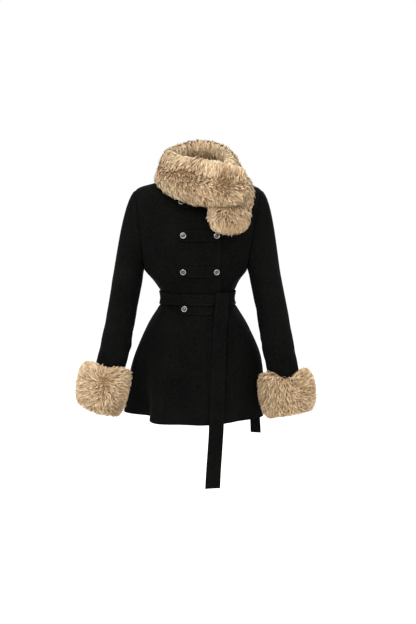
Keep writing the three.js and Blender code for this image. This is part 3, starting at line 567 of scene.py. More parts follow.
# Sleeves: middle of the arm at each place down it, half width and half depth there
sleeveRows = {
    -1: [(-202, -12, -290, 42.5, 56), (-217, -34, -380, 41.5, 52), (-229, -66, -455, 42.5, 49),
         (-243, -96, -520, 41.5, 46), (-260, -118, -580, 39.5, 43), (-274, -130, -640, 37.5, 41)],
    1: [(195, -12, -290, 44.5, 57), (212, -38, -380, 44.5, 53), (223, -74, -455, 45.5, 49),
        (235, -107, -520, 44, 46), (246, -134, -580, 41, 43), (255, -150, -640, 38.5, 41)],
}
sleeveTables = {side: np.array(rows, float) for side, rows in sleeveRows.items()}


def sleeveFrame(side, where):
    table = sleeveTables[side]
    at = lambda spot: np.stack([alongTable(table[:, k], spot) for k in range(3)], -1)
    where = np.asarray(where, float)
    axis = unit(at(np.minimum(where + 0.1, 5)) - at(np.maximum(where - 0.1, 0)))
    out = unit(np.array([side, 0, 0]) - side * axis[..., :1] * axis)
    front = unit(np.cross(axis, out) * side)
    return at(where), axis, out, front, alongTable(table[:, 3], where), alongTable(table[:, 4], where)


def sleevePoint(side, where, turn, grow=0.0):
    middle, _, out, front, halfWidth, halfDepth = sleeveFrame(side, where)
    turn = np.radians(turn)
    return (middle + out * ((halfWidth + grow) * np.cos(turn))[..., None]
            + front * ((halfDepth + grow) * np.sin(turn))[..., None])


# Creases of a sleeve: place down the arm, turn round it (0 outside, 90 front, 180 inside, 270 back), half
# length in degrees, half width as a share of a place, slant, rise
sleeveCreases = {
    -1: [(0.25, 120, 50, 0.16, 0.5, -2.2), (0.62, 150, 46, 0.15, 0.35, -2.0),
         (1.1, 100, 44, 0.17, -0.4, 1.5), (1.55, 165, 50, 0.15, 0.2, -2.6),
         (1.86, 140, 58, 0.14, -0.25, -3.0), (2.12, 170, 52, 0.14, 0.15, 2.2),
         (2.4, 150, 46, 0.15, -0.2, -2.6), (2.75, 110, 44, 0.16, 0.4, -1.6),
         (0.9, 250, 46, 0.2, -0.5, -1.6), (1.9, 300, 56, 0.22, 0.2, 1.6), (2.7, 240, 50, 0.2, -0.3, -1.4),
         (0.3, 40, 40, 0.24, 0.6, 1.2), (1.4, 20, 40, 0.25, -0.5, -1.2), (2.5, 30, 46, 0.22, 0.4, -1.4)],
    1: [(0.3, 110, 48, 0.16, -0.4, -2.0), (0.74, 160, 50, 0.15, 0.3, -2.2), (1.2, 90, 46, 0.17, 0.4, 1.6),
        (1.62, 150, 54, 0.15, -0.2, -2.8), (1.95, 165, 50, 0.14, 0.2, -2.6),
        (2.25, 130, 56, 0.14, -0.25, 2.0), (2.6, 150, 48, 0.15, 0.2, -2.5),
        (3.0, 100, 46, 0.16, -0.4, -1.7), (1.0, 260, 46, 0.2, 0.5, -1.5), (2.05, 290, 54, 0.22, -0.2, 1.7),
        (2.9, 245, 50, 0.2, 0.3, -1.5), (0.36, 330, 40, 0.24, -0.5, 1.2), (1.5, 350, 40, 0.25, 0.4, -1.3),
        (2.6, 20, 46, 0.22, -0.3, -1.3)],
}


def sleeveRelief(side, where, turn):
    total = np.zeros(np.broadcast(where, turn).shape)
    for at, centre, halfLength, halfWidth, slant, rise in sleeveCreases[side]:
        away = fromTurn(turn, centre) / halfLength
        middle = at + slant * away * halfWidth * 2 + 0.06 * np.sin(away * 3 + at * 7)
        total += rise * np.exp(-((where - middle) / halfWidth) ** 2 - away ** 2 * 1.4)
    return total


sleeveMaking = {"columns": 104, "end": 4.8, "place": 62, "capPlaces": 1.3, "seamTurn": 205}


def hermite(t, start, startRun, end, endRun):
    return ((2 * t ** 3 - 3 * t ** 2 + 1) * start + (t ** 3 - 2 * t ** 2 + t) * startRun
            + (3 * t ** 2 - 2 * t ** 3) * end + (t ** 3 - t ** 2) * endRun)


def sleeve(side, name):
    steps = np.linspace(shoulderTip, underarm, 60)
    lines = [coatPoint(armholeAngle(steps, side, atBack), steps) for atBack in (False, True)]
    turns = []
    for line in lines:
        lengths = np.concatenate([[0], np.cumsum(np.linalg.norm(np.diff(line, axis=0), axis=1))])
        turns.append(180 * lengths / lengths[-1])
    columns = sleeveMaking["columns"]
    turn = np.arange(columns) * 360 / columns
    loop = np.zeros((columns, 3))
    for k in range(3):
        atFront = np.interp(turn, turns[0], lines[0][:, k])
        atBack = np.interp(360 - turn, turns[1], lines[1][:, k])
        loop[:, k] = np.where(turn <= 180, atFront, atBack)
    top, low = loop[:, 2].max(), loop[:, 2].min()
    down = ((top - loop[:, 2]) / (top - low))[:, None]
    _, axis, _, _, _, _ = sleeveFrame(side, 0)
    direction = np.concatenate([side * (0.95 - 0.6 * down), 0 * down, -0.35 - 0.6 * down], 1)
    startRun = direction * (110 - 60 * down)
    start = loop - unit(np.array([side, 0, -0.4])) * 0.35
    end = sleevePoint(side, np.zeros(columns), turn)
    endRun = axis * (60 + 110 * (1 - down))
    rows = []
    capSteps = np.concatenate([[0, 0.004, 0.012, 0.025, 0.045], np.arange(0.07, 0.99, 0.045)])
    for t in capSteps:
        rows.append(hermite(t, start, startRun, end, endRun))
    armSteps = np.concatenate([np.arange(0, 4.7, 0.075), [4.72, 4.76, 4.785, sleeveMaking["end"]]])
    for where in armSteps:
        rows.append(sleevePoint(side, np.full(columns, where), turn))
    outer = np.array(rows)
    around = np.roll(outer, -1, 1) - np.roll(outer, 1, 1)
    along = np.gradient(outer, axis=0)
    normal = unit(np.cross(around, along)) * side
    wherePlace = np.concatenate([(capSteps - 1) * sleeveMaking["capPlaces"], armSteps])[:, None]
    out = sleeveRelief(side, wherePlace, turn[None, :])
    fromSeam = np.linalg.norm(outer - outer[:1], axis=-1)
    out = out * smoothStep(2, 30, fromSeam) - seamDip(fromSeam)
    # Ease of the sleeve head: soft puckers under the seam
    radians = np.radians(turn)
    puckers = np.sin(radians * 17 + 1.3 * np.sin(radians * 5)) * (1 - down[:, 0])
    out = out + 0.7 * np.exp(-((fromSeam - 9) / 8) ** 2) * puckers[None, :]
    underarmSeam = np.exp(-(fromTurn(turn, sleeveMaking["seamTurn"]) / 2.2) ** 2)[None, :]
    out = out - 0.7 * underarmSeam * smoothStep(4, 20, fromSeam)
    fromEnd = np.abs(sleeveMaking["end"] - wherePlace) * sleeveMaking["place"]
    roll = np.maximum(rounding(fromSeam), rounding(fromEnd))
    outerSkin = outer + normal * (out - roll)[..., None]
    innerSkin = outer + normal * (out - clothThickness + roll)[..., None]
    piece = place(shell(f"{name}_cloth", outerSkin, innerSkin, wool, ring=True), name, slotName="wool_cloth")
    declareCut(piece, outerSkin, innerSkin, ring=True)


sleeve(-1, "sleeve_right")
sleeve(1, "sleeve_left")
print("sleeves done")

# Belt: a tube of cloth round the waist with soft edges and shallow buckles. It stands off the waist, and further
# where it crosses the front.
beltForm = {"columns": 300, "standOff": 1.6, "frontLift": 2.6, "stitchInset": 5,
            "edgeSteps": np.array([0, 0.3, 0.9, 1.8, 3.2]), "endAngles": (39, 122)}


def belt():
    columns = beltForm["columns"]
    angle = np.arange(columns) * 360 / columns
    near = beltForm["edgeSteps"] / beltWidth
    ups = np.concatenate([0.5 - near, np.linspace(0.38, -0.38, 9), near[::-1] - 0.5])
    away = np.abs(fromTurn(angle, 0))
    atFront = 1 - smoothStep(44, 66, away)
    height = beltMiddle + ups[:, None] * (beltWidth - beltGather * atFront[None, :])
    wide = np.broadcast_to(angle, height.shape)
    level = levelAtZ(height, wide)
    rise = beltForm["standOff"] + beltForm["frontLift"] * atFront[None, :]
    fromEdge = (0.5 - np.abs(ups)) * beltWidth
    roll = rounding(fromEdge, beltThickness, strapBlunt)[:, None]
    stitched = stitchGroove(fromEdge, beltForm["stitchInset"], 0.35)[:, None]
    buckle = 0.8 * np.sin(np.radians(wide) * 9 + 2.2 * np.sin(np.radians(wide) * 3) + ups[:, None] * 2.2)
    buckle = buckle * smoothStep(1, 9, fromEdge)[:, None]
    fromEnds = np.minimum(*(np.abs(wide - turn) for turn in beltForm["endAngles"]))
    buckle = buckle * smoothStep(14, 26, fromEnds) * (0.35 + 0.65 * (1 - atFront))
    outer = coatOffset(wide, level, rise + beltThickness + np.minimum(buckle, 0.5) - roll - stitched)
    inner = coatOffset(wide, level, rise + roll)
    piece = place(shell("belt_cloth", outer, inner, wool, ring=True), "belt", slotName="wool_cloth")
    closed, facing = (np.concatenate([grid, grid[:, :1]], 1) for grid in (outer, outer - inner))
    sewn = stitches("belt", [(closed[k], facing[k]) for k in (5, -6)])
    declareCut(piece, outer, inner, ring=True)


belt()

# Belt ends, from the fold down: height, place across or angle, distance off the coat, width, and on the short
# end the way it faces and its place where it hangs free
longTail = [
    (-322, 64, 4.4, 41), (-322, 64, 8.2, 41), (-325, 64, 9.6, 41.5), (-342, 63.4, 9.8, 41.5),
    (-378, 61.8, 9.6, 41.5), (-400, 61, 7, 40.5), (-430, 60, 4.6, 40), (-500, 57.5, 3.6, 39.5),
    (-580, 54.5, 3.2, 40.5), (-640, 52.5, 3, 41.5), (-672, 51, 3, 42), (-760, 47, None, 42),
    (-857, 41.5, None, 42.5),
]
shortTail = [
    (-319.6, 122, 1.8, 34, None, None), (-319.6, 122, 4.8, 34, None, None), (-323, 122, 6.2, 34, None, None),
    (-342, 121.5, 6.8, 34, None, None), (-372, 121, 6, 34, None, None), (-420, 119, 4, 34, None, None),
    (-500, 117, 4, 34, None, None), (-580, 115, 5, 34, None, None), (-640, 114, 12, 34, 130, None),
    (-700, None, None, 33, 150, (171, 92)), (-768, None, None, 32, 166, (175, 92)),
]


def tailStations(rows, byAngle):
    stations = []
    for row in rows:
        z, spot, out, width, facing, free = row if byAngle else (*row, None, None)
        if byAngle:
            angle = np.array(float(spot if spot is not None else 120))
            level = levelAtZ(np.array(float(z)), angle)
        else:
            angle, level = placeOnFront(np.array(float(spot)), np.array(float(z)))
        normal = unit(coatNormal(angle, level) * (1, 1, 0))
        if not byAngle:
            normal = unit(normal * (0.8, 1, 1))
        if facing is not None:
            normal = np.array([math.sin(math.radians(facing)), -math.cos(math.radians(facing)), 0])
        if free is not None:
            point = np.array([*free, z], float)
        elif out is None:
            point = np.array([spot, stations[-1][0][1], z], float)
        else:
            point = coatPoint(angle, level) + normal * out
            point[2] = z
        stations.append((point, normal, width))
    return stations


tailForm = {"rowStep": 6, "stitchInset": 5, "stitchDepth": 0.3, "cup": 1.1}


def tail(name, rows, byAngle, buckles):
    stations = tailStations(rows, byAngle)
    table = np.array([[*point, *normal, width] for point, normal, width in stations])
    drops = np.abs(np.diff(table[:, 2]))
    counts = [max(2, int(drop / tailForm["rowStep"])) for drop in drops]
    spots = np.concatenate([np.linspace(k, k + 1, count, endpoint=False) for k, count in enumerate(counts)])
    tip = len(stations) - 1
    perRow = drops[-1]
    spots = np.concatenate([spots[spots < tip - 7 / perRow], tip - edgeSteps[::-1] / perRow])
    line = np.stack([alongTable(table[:, k], spots) for k in range(7)], 1)
    line[:, 2] = np.interp(spots, np.arange(len(stations)), table[:, 2])
    middle, normal, width = line[:, :3], unit(line[:, 3:6]), line[:, 6]
    across = np.stack([-normal[:, 1], normal[:, 0], 0 * width], 1)
    along = np.gradient(middle, axis=0)
    outward = unit(np.cross(along, across))
    flip = np.einsum("ij,ij->i", outward, normal) < -0.05
    outward = np.where(flip[:, None], -outward, outward)
    outward = np.where((spots < 1.2)[:, None] & (outward[:, 2:] < 0), -outward, outward)
    near = np.array([0, 0.3, 0.9, 1.8, 3.2, 5.0])
    distance = np.concatenate([np.broadcast_to(near, (len(spots), 6)),
                               6.5 + (width[:, None] - 13) * np.linspace(0, 1, 7)[None, :],
                               width[:, None] - near[::-1]], 1)
    sideways = distance - width[:, None] / 2
    fromEdge = np.minimum(distance, width[:, None] - distance)
    fromTip = ((tip - spots) * perRow)[:, None]
    roll = rounding(np.minimum(fromEdge, fromTip), tailThickness, strapBlunt)
    inset, deep = tailForm["stitchInset"], tailForm["stitchDepth"]
    stitched = stitchGroove(fromEdge, inset, deep) + stitchGroove(fromTip, inset, deep)
    bend = np.zeros(distance.shape)
    for height, halfWidth, rise, slant in buckles:
        spot = middle[:, 2:3] - height - slant * sideways
        bend += rise * np.exp(-(spot / halfWidth) ** 2) * smoothStep(-330, -400, middle[:, 2:3])
    cup = tailForm["cup"] * (sideways / (width[:, None] / 2)) ** 2 * smoothStep(-640, -720, middle[:, 2:3])
    base = middle[:, None, :] + across[:, None, :] * sideways[..., None]
    outer = base + outward[:, None, :] * (tailThickness + bend + cup - roll - stitched)[..., None]
    inner = base + outward[:, None, :] * (bend + cup + roll)[..., None]
    piece = place(shell(f"{name}_cloth", outer, inner, wool), name, slotName="wool_cloth")
    sewn = stitches(name, [seamLine(outer, inner, 5), seamLine(outer, inner, -6)])
    declareCut(piece, outer, inner)


# Buckles of a hanging end: height, half width, rise, slant
longBuckles = [(-470, 16, 0.8, 0.3), (-560, 20, 0.9, -0.4), (-700, 26, 1.6, 0.25), (-790, 22, -1.2, -0.3)]
shortBuckles = [(-470, 18, 0.8, -0.3), (-560, 18, 0.7, 0.3), (-700, 20, 1.2, 0.2)]
tail("belt_tail_long", longTail, False, longBuckles)
tail("belt_tail_short", shortTail, True, shortBuckles)

# Straps across the buttons, with rounded ends
tabForm = {"columns": 48, "endReach": 12, "endHeight": 0.45, "sag": 1.5, "stitchInset": 3.5, "buttonDent": 0.5}
tabUps = np.array([1, 0.98, 0.93, 0.86, 0.75, 0.6, 0.35, 0.1])


def tabOutline(along, up, z, strapEnd):
    halfLength = (strapEnd - tabRightEnd) / 2
    fromEnd = (1 - np.abs(along)) * halfLength
    share = np.clip(fromEnd / tabForm["endReach"], 0, 1)
    end = np.sqrt(1 - (1 - share) ** 2)
    high = tabHeight / 2 * (tabForm["endHeight"] + (1 - tabForm["endHeight"]) * end)
    high = high + np.where(up < 0, tabForm["sag"] * (1 - along ** 2), 0)
    return placeOnFront((strapEnd + tabRightEnd) / 2 + along * halfLength, z + up * high)


def tab(name, z, buttonXs, strapEnd):
    along = -np.cos(np.linspace(0, math.pi, tabForm["columns"]))
    a, u = np.meshgrid(along, np.concatenate([tabUps, -tabUps[::-1]]))
    angle, level = tabOutline(a, u, z, strapEnd)
    halfLength = (strapEnd - tabRightEnd) / 2
    fromEdge = np.minimum((1 - np.abs(u)) * tabHeight / 2, (1 - np.abs(a)) * halfLength)
    roll = rounding(fromEdge, tabThickness, strapBlunt)
    stitched = stitchGroove(fromEdge, tabForm["stitchInset"], 0.35, 0.8)
    x = (strapEnd + tabRightEnd) / 2 + a * halfLength
    dent = np.zeros(a.shape)
    for buttonX in buttonXs:
        dent -= tabForm["buttonDent"] * np.exp(-(np.hypot(x - buttonX, u * tabHeight / 2) / 9) ** 2)
    slack = 0.9 * np.exp(-((x - 6) / 26) ** 2) * smoothStep(0.1, 1, -u)
    outer = coatOffset(angle, level, restGap + tabThickness - roll - stitched + dent + slack)
    inner = coatOffset(angle, level, restGap + roll + np.minimum(slack, 0.6))
    piece = place(shell(f"{name}_cloth", outer, inner, wool), name, slotName="wool_cloth")
    outside, inside = (grid.swapaxes(0, 1)[5:-5] for grid in (outer, inner))
    sewn = stitches(name, [seamLine(outside, inside, k) for k in (4, -5)])
    declareCut(piece, outer, inner)


for rowName, z, rightX, leftX, strapEnd in buttonRows:
    tab(f"tab_{rowName}", z, (rightX, leftX), strapEnd)
print("belt and straps done")

# Buttons: a polished ring round a low dome, as radius and height in shares of the diameter
buttonForm = {"sides": 36, "domeStart": 13}
buttonProfile = [(0.0, 0.0), (0.3, 0.0), (0.42, 0.002), (0.47, 0.025), (0.497, 0.06), (0.5, 0.09),
                 (0.497, 0.14), (0.485, 0.19), (0.462, 0.235), (0.43, 0.262), (0.4, 0.27), (0.372, 0.262),
                 (0.35, 0.24), (0.335, 0.212), (0.322, 0.2), (0.3, 0.202), (0.26, 0.222), (0.2, 0.245),
                 (0.13, 0.262), (0.06, 0.272), (0.0, 0.274)]


def button(name, x, z):
    angle, level = placeOnFront(np.array(float(x)), np.array(float(z)))
    seat = coatOffset(angle, level, 2 * restGap + tabThickness)
    normal = coatNormal(angle, level)
    side = unit(np.cross([0, 0, 1], normal))
    up = np.cross(normal, side)
    sides = buttonForm["sides"]
    turn = np.arange(sides) * 2 * math.pi / sides
    ring = side[None, :] * np.cos(turn)[:, None] + up[None, :] * np.sin(turn)[:, None]
    points = np.concatenate([seat + (normal * height + ring * max(radius, 0.002)) * buttonDiameter
                             for radius, height in buttonProfile])
    k, s = np.meshgrid(np.arange(len(buttonProfile) - 1), np.arange(sides), indexing="ij")
    k, s = k.ravel(), s.ravel()
    low, high, ahead = k * sides, (k + 1) * sides, (s + 1) % sides
    faces = np.stack([low + s, low + ahead, high + ahead, high + s], 1)
    piece = makeObject(f"{name}_metal", points, facingOut(points, faces), gunmetal)
    piece.data.materials.append(gunmetalReflectionShade)
    # The dome's middle takes the darker copy, a painted dark reflection
    piece.data.polygons.foreach_set("material_index", (k >= buttonForm["domeStart"]).astype(np.int32))
    place(piece, name, slotName="gunmetal")


for rowName, z, rightX, leftX, strapEnd in buttonRows:
    button(f"button_{rowName}_right", rightX, z)
    button(f"button_{rowName}_left", leftX, z)
print("buttons done")

# Fur. A form is a function of two directions and a height over the surface; strands walk along it.

# Collar bands, from the centre back to the end: middle, direction of the upper edge, width, thickness
collarBands = {
    "right": [
        (8, 70, 47, 0, -0.12, 1, 132, 50), (-24, 67, 46, 0.1, -0.16, 0.98, 128, 51),
        (-62, 44, 42, 0.28, -0.14, 0.95, 111, 53), (-90, -2, 28, 0.36, 0, 0.93, 106, 56),
        (-62, -62, 4, 0.25, 0.3, 0.92, 114, 58), (-2, -100, -16, 0.05, 0.25, 0.96, 126, 57),
        (50, -122, -22, 0, 0.16, 0.98, 124, 54), (96, -134, -25, -0.1, 0.1, 0.98, 110, 50),
        (132, -134, -28, -0.1, 0.1, 0.98, 96, 44),
    ],
    "left": [
        (8, 70, 47, 0, -0.12, 1, 132, 50), (42, 67, 45, -0.1, -0.16, 0.98, 128, 51),
        (80, 44, 36, -0.3, -0.14, 0.94, 112, 53), (108, 0, 8, -0.55, 0, 0.83, 112, 54),
        (104, -62, -34, -0.85, -0.05, 0.5, 114, 54), (88, -106, -86, -1, 0, 0.08, 118, 52),
        (86, -118, -126, -1, 0, 0, 118, 50), (85, -122, -158, -1, 0, 0, 112, 44),
    ],
}
bandTables = {name: np.array(rows, float) for name, rows in collarBands.items()}
# How far up a band its rounded end reaches, and how full the end is
bandEnds = {"right": (0.62, 2.4), "left": (1.4, 2.1)}
bandSquare = 2.6


# A point of a collar band: place along it, turn round it (0 upper edge, 90 outer face, 180 lower edge)
def bandPoint(name, spot, turn, height):
    table = bandTables[name]
    last = len(table) - 1
    spot, turn, height = np.broadcast_arrays(*(np.asarray(v, float) for v in (spot, turn, height)))
    inside = np.clip(spot, 0, last)
    column = lambda k, where: alongTable(table[:, k], where)
    middle = np.stack([column(k, inside) for k in range(3)], -1)
    ahead = np.stack([column(k, np.minimum(inside + 0.05, last)) for k in range(3)], -1)
    behind = np.stack([column(k, np.maximum(inside - 0.05, 0)) for k in range(3)], -1)
    tangent = unit(ahead - behind)
    sign = -1 if name == "right" else 1
    square = (1 - smoothStep(0, 0.4, inside))[..., None]
    tangent = unit(tangent * (1 - square) + np.array([sign, 0, 0]) * square)
    up = np.stack([column(k, inside) for k in (3, 4, 5)], -1)
    up = unit(up - tangent * np.sum(up * tangent, -1, keepdims=True))
    across = np.cross(tangent, up) * (1 if name == "right" else -1)
    endReach, fullness = bandEnds[name]
    past = np.maximum(0, (inside - (last - endReach)) / endReach)
    taper = np.maximum(np.sqrt(np.maximum(1 - past ** fullness, 0)), 0.16)
    axial = smoothStep(0.25, 1, past)
    middle = middle + tangent * (height * axial)[..., None]
    height = height * (1 - 0.75 * axial)
    angle = np.radians(turn)
    cosine, sine = np.cos(angle), np.sin(angle)
    reach = (np.abs(cosine) ** bandSquare + np.abs(sine) ** bandSquare) ** (-1 / bandSquare)
    halfWidth = column(6, inside) / 2 * taper + height
    halfThick = column(7, inside) / 2 * np.sqrt(taper) + height
    point = middle + up * (cosine * reach * halfWidth)[..., None]
    point = point + across * (sine * reach * halfThick)[..., None]
    beyond = (spot - inside) * 36
    return point + tangent * beyond[..., None]


# Section of a cuff: share of its length down the sleeve, height over the sleeve
cuffProfile = np.array([(0.07, 4), (0.0, 13), (0.0, 24), (0.14, 33), (0.35, 38), (0.58, 39.5), (0.8, 36),
                        (0.95, 27), (1.0, 13), (0.95, 3)])
# Upper and lower edge on the sleeve, sag of the upper one at the front and outside, rise of the lower one
# outside, lean of the outer side, fullness of the side turned to the skirt
cuffEdges = {-1: (3.08, 5.14, 0.2, 0.08, 0.2, 0.45, 0.78), 1: (3.28, 5.2, 0.42, 0.1, 0.08, 0.3, 1)}
cuffLength = {-1: 129.0, 1: 121.0}


def pastSleeve(side, where, turn, grow):
    last = 4.9
    middle, axis, *_ = sleeveFrame(side, np.array(last))
    before = sleeveFrame(side, np.array(last - 0.2))[0]
    perPlace = np.linalg.norm(middle - before) / 0.2
    point = sleevePoint(side, np.minimum(where, last), turn, grow)
    return point + axis * (np.maximum(where - last, 0) * perPlace)[..., None]


# A point of a cuff: step along its profile (0 inside the upper rim, 9 inside the lower one), turn, height
def cuffPoint(side, step, turn, height):
    step, turn, height = np.broadcast_arrays(*(np.asarray(v, float) for v in (step, turn, height)))
    step = np.clip(step, 0, 9)
    at = lambda spot: (alongTable(cuffProfile[:, 0], spot) * cuffLength[side],
                       alongTable(cuffProfile[:, 1], spot))
    down, grow = at(step)
    upper, lower, frontSag, outerSag, outerRise, lean, skirtSide = cuffEdges[side]
    sideways, front = np.cos(np.radians(turn)), np.maximum(np.sin(np.radians(turn)), 0) ** 5
    outer = np.maximum(sideways, 0)
    share = down / cuffLength[side]
    grow = grow * (1 + lean * outer * (0.5 - share)) * (1 - (1 - skirtSide) * np.maximum(-sideways, 0))
    downAhead, growAhead = at(np.minimum(step + 0.05, 9))
    downBehind, growBehind = at(np.maximum(step - 0.05, 0))
    runDown, runGrow = downAhead - downBehind, growAhead - growBehind
    length = np.maximum(np.hypot(runDown, runGrow), 1e-6)
    down = down - height * runGrow / length
    grow = grow + height * runDown / length
    sag = (frontSag * front + outerSag * outer) * (1 - share) - outerRise * outer * share
    where = upper + (lower - upper) * down / cuffLength[side] + sag
    return pastSleeve(side, where, turn, np.maximum(grow, 1.5))


# Nearest places of a surface, with the height of a point over it
class Surface:
    def __init__(self, points, normals):
        self.points, self.normals = points.reshape(-1, 3), normals.reshape(-1, 3)
        self.tree = kdtree.KDTree(len(self.points))
        for k, point in enumerate(self.points.tolist()):
            self.tree.insert(point, k)
        self.tree.balance()

    def heights(self, points):
        flat = points.reshape(-1, 3)
        nearest = np.fromiter((self.tree.find(p)[1] for p in flat.tolist()), int, len(flat))
        offset = flat - self.points[nearest]
        height = np.sum(offset * self.normals[nearest], -1)
        sideways = np.sqrt(np.maximum(np.sum(offset ** 2, -1) - height ** 2, 0))
        shape = points.shape[:-1]
        return height.reshape(shape), sideways.reshape(shape), self.normals[nearest].reshape(points.shape)

    def clear(self, points, least, within, deepest=-14, longest=7):
        height, sideways, normals = self.heights(points)
        push = np.where((sideways < within) & (height > deepest), np.clip(least - height, 0, longest), 0)
        return points + normals * push[..., None]


gridAngle, gridLevel = np.meshgrid(np.arange(-180, 180, 2.0), np.arange(0, 7.01, 0.08))
coatSurface = Surface(coatPoint(gridAngle, gridLevel), coatNormal(gridAngle, gridLevel))


def formNormals(form, u, v):
    step = 0.02
    du = form(u + step, v, 0) - form(u - step, v, 0)
    dv = form(u, v + 2, 0) - form(u, v - 2, 0)
    return unit(np.cross(du, dv))


def signOf(form, u=4.0, v=90.0):
    u, v = np.array([u]), np.array([v])
    return float(np.sign(np.sum(formNormals(form, u, v) * (form(u, v, 5) - form(u, v, 0)))))


# Hair: length, depth of the roots under the form, width, its taper and its tones from root to tip, and the
# share of single long hairs
hair = {"length": 23, "depth": 9.5, "width": 1.4, "taper": (0.9, 1, 0.85, 0),
        "tones": ("#694c35", "#9a7957", "#b99b76", "#cdb998"), "stray": 0.015}
hairSteps = len(hair["tones"])


def noiseField(seed, size):
    numbers = np.random.default_rng(seed)
    waves = numbers.normal(size=(9, 3)) / size
    phases = numbers.uniform(0, 2 * math.pi, 9)
    return lambda points: np.sin(points @ waves.T + phases).sum(-1) / 3


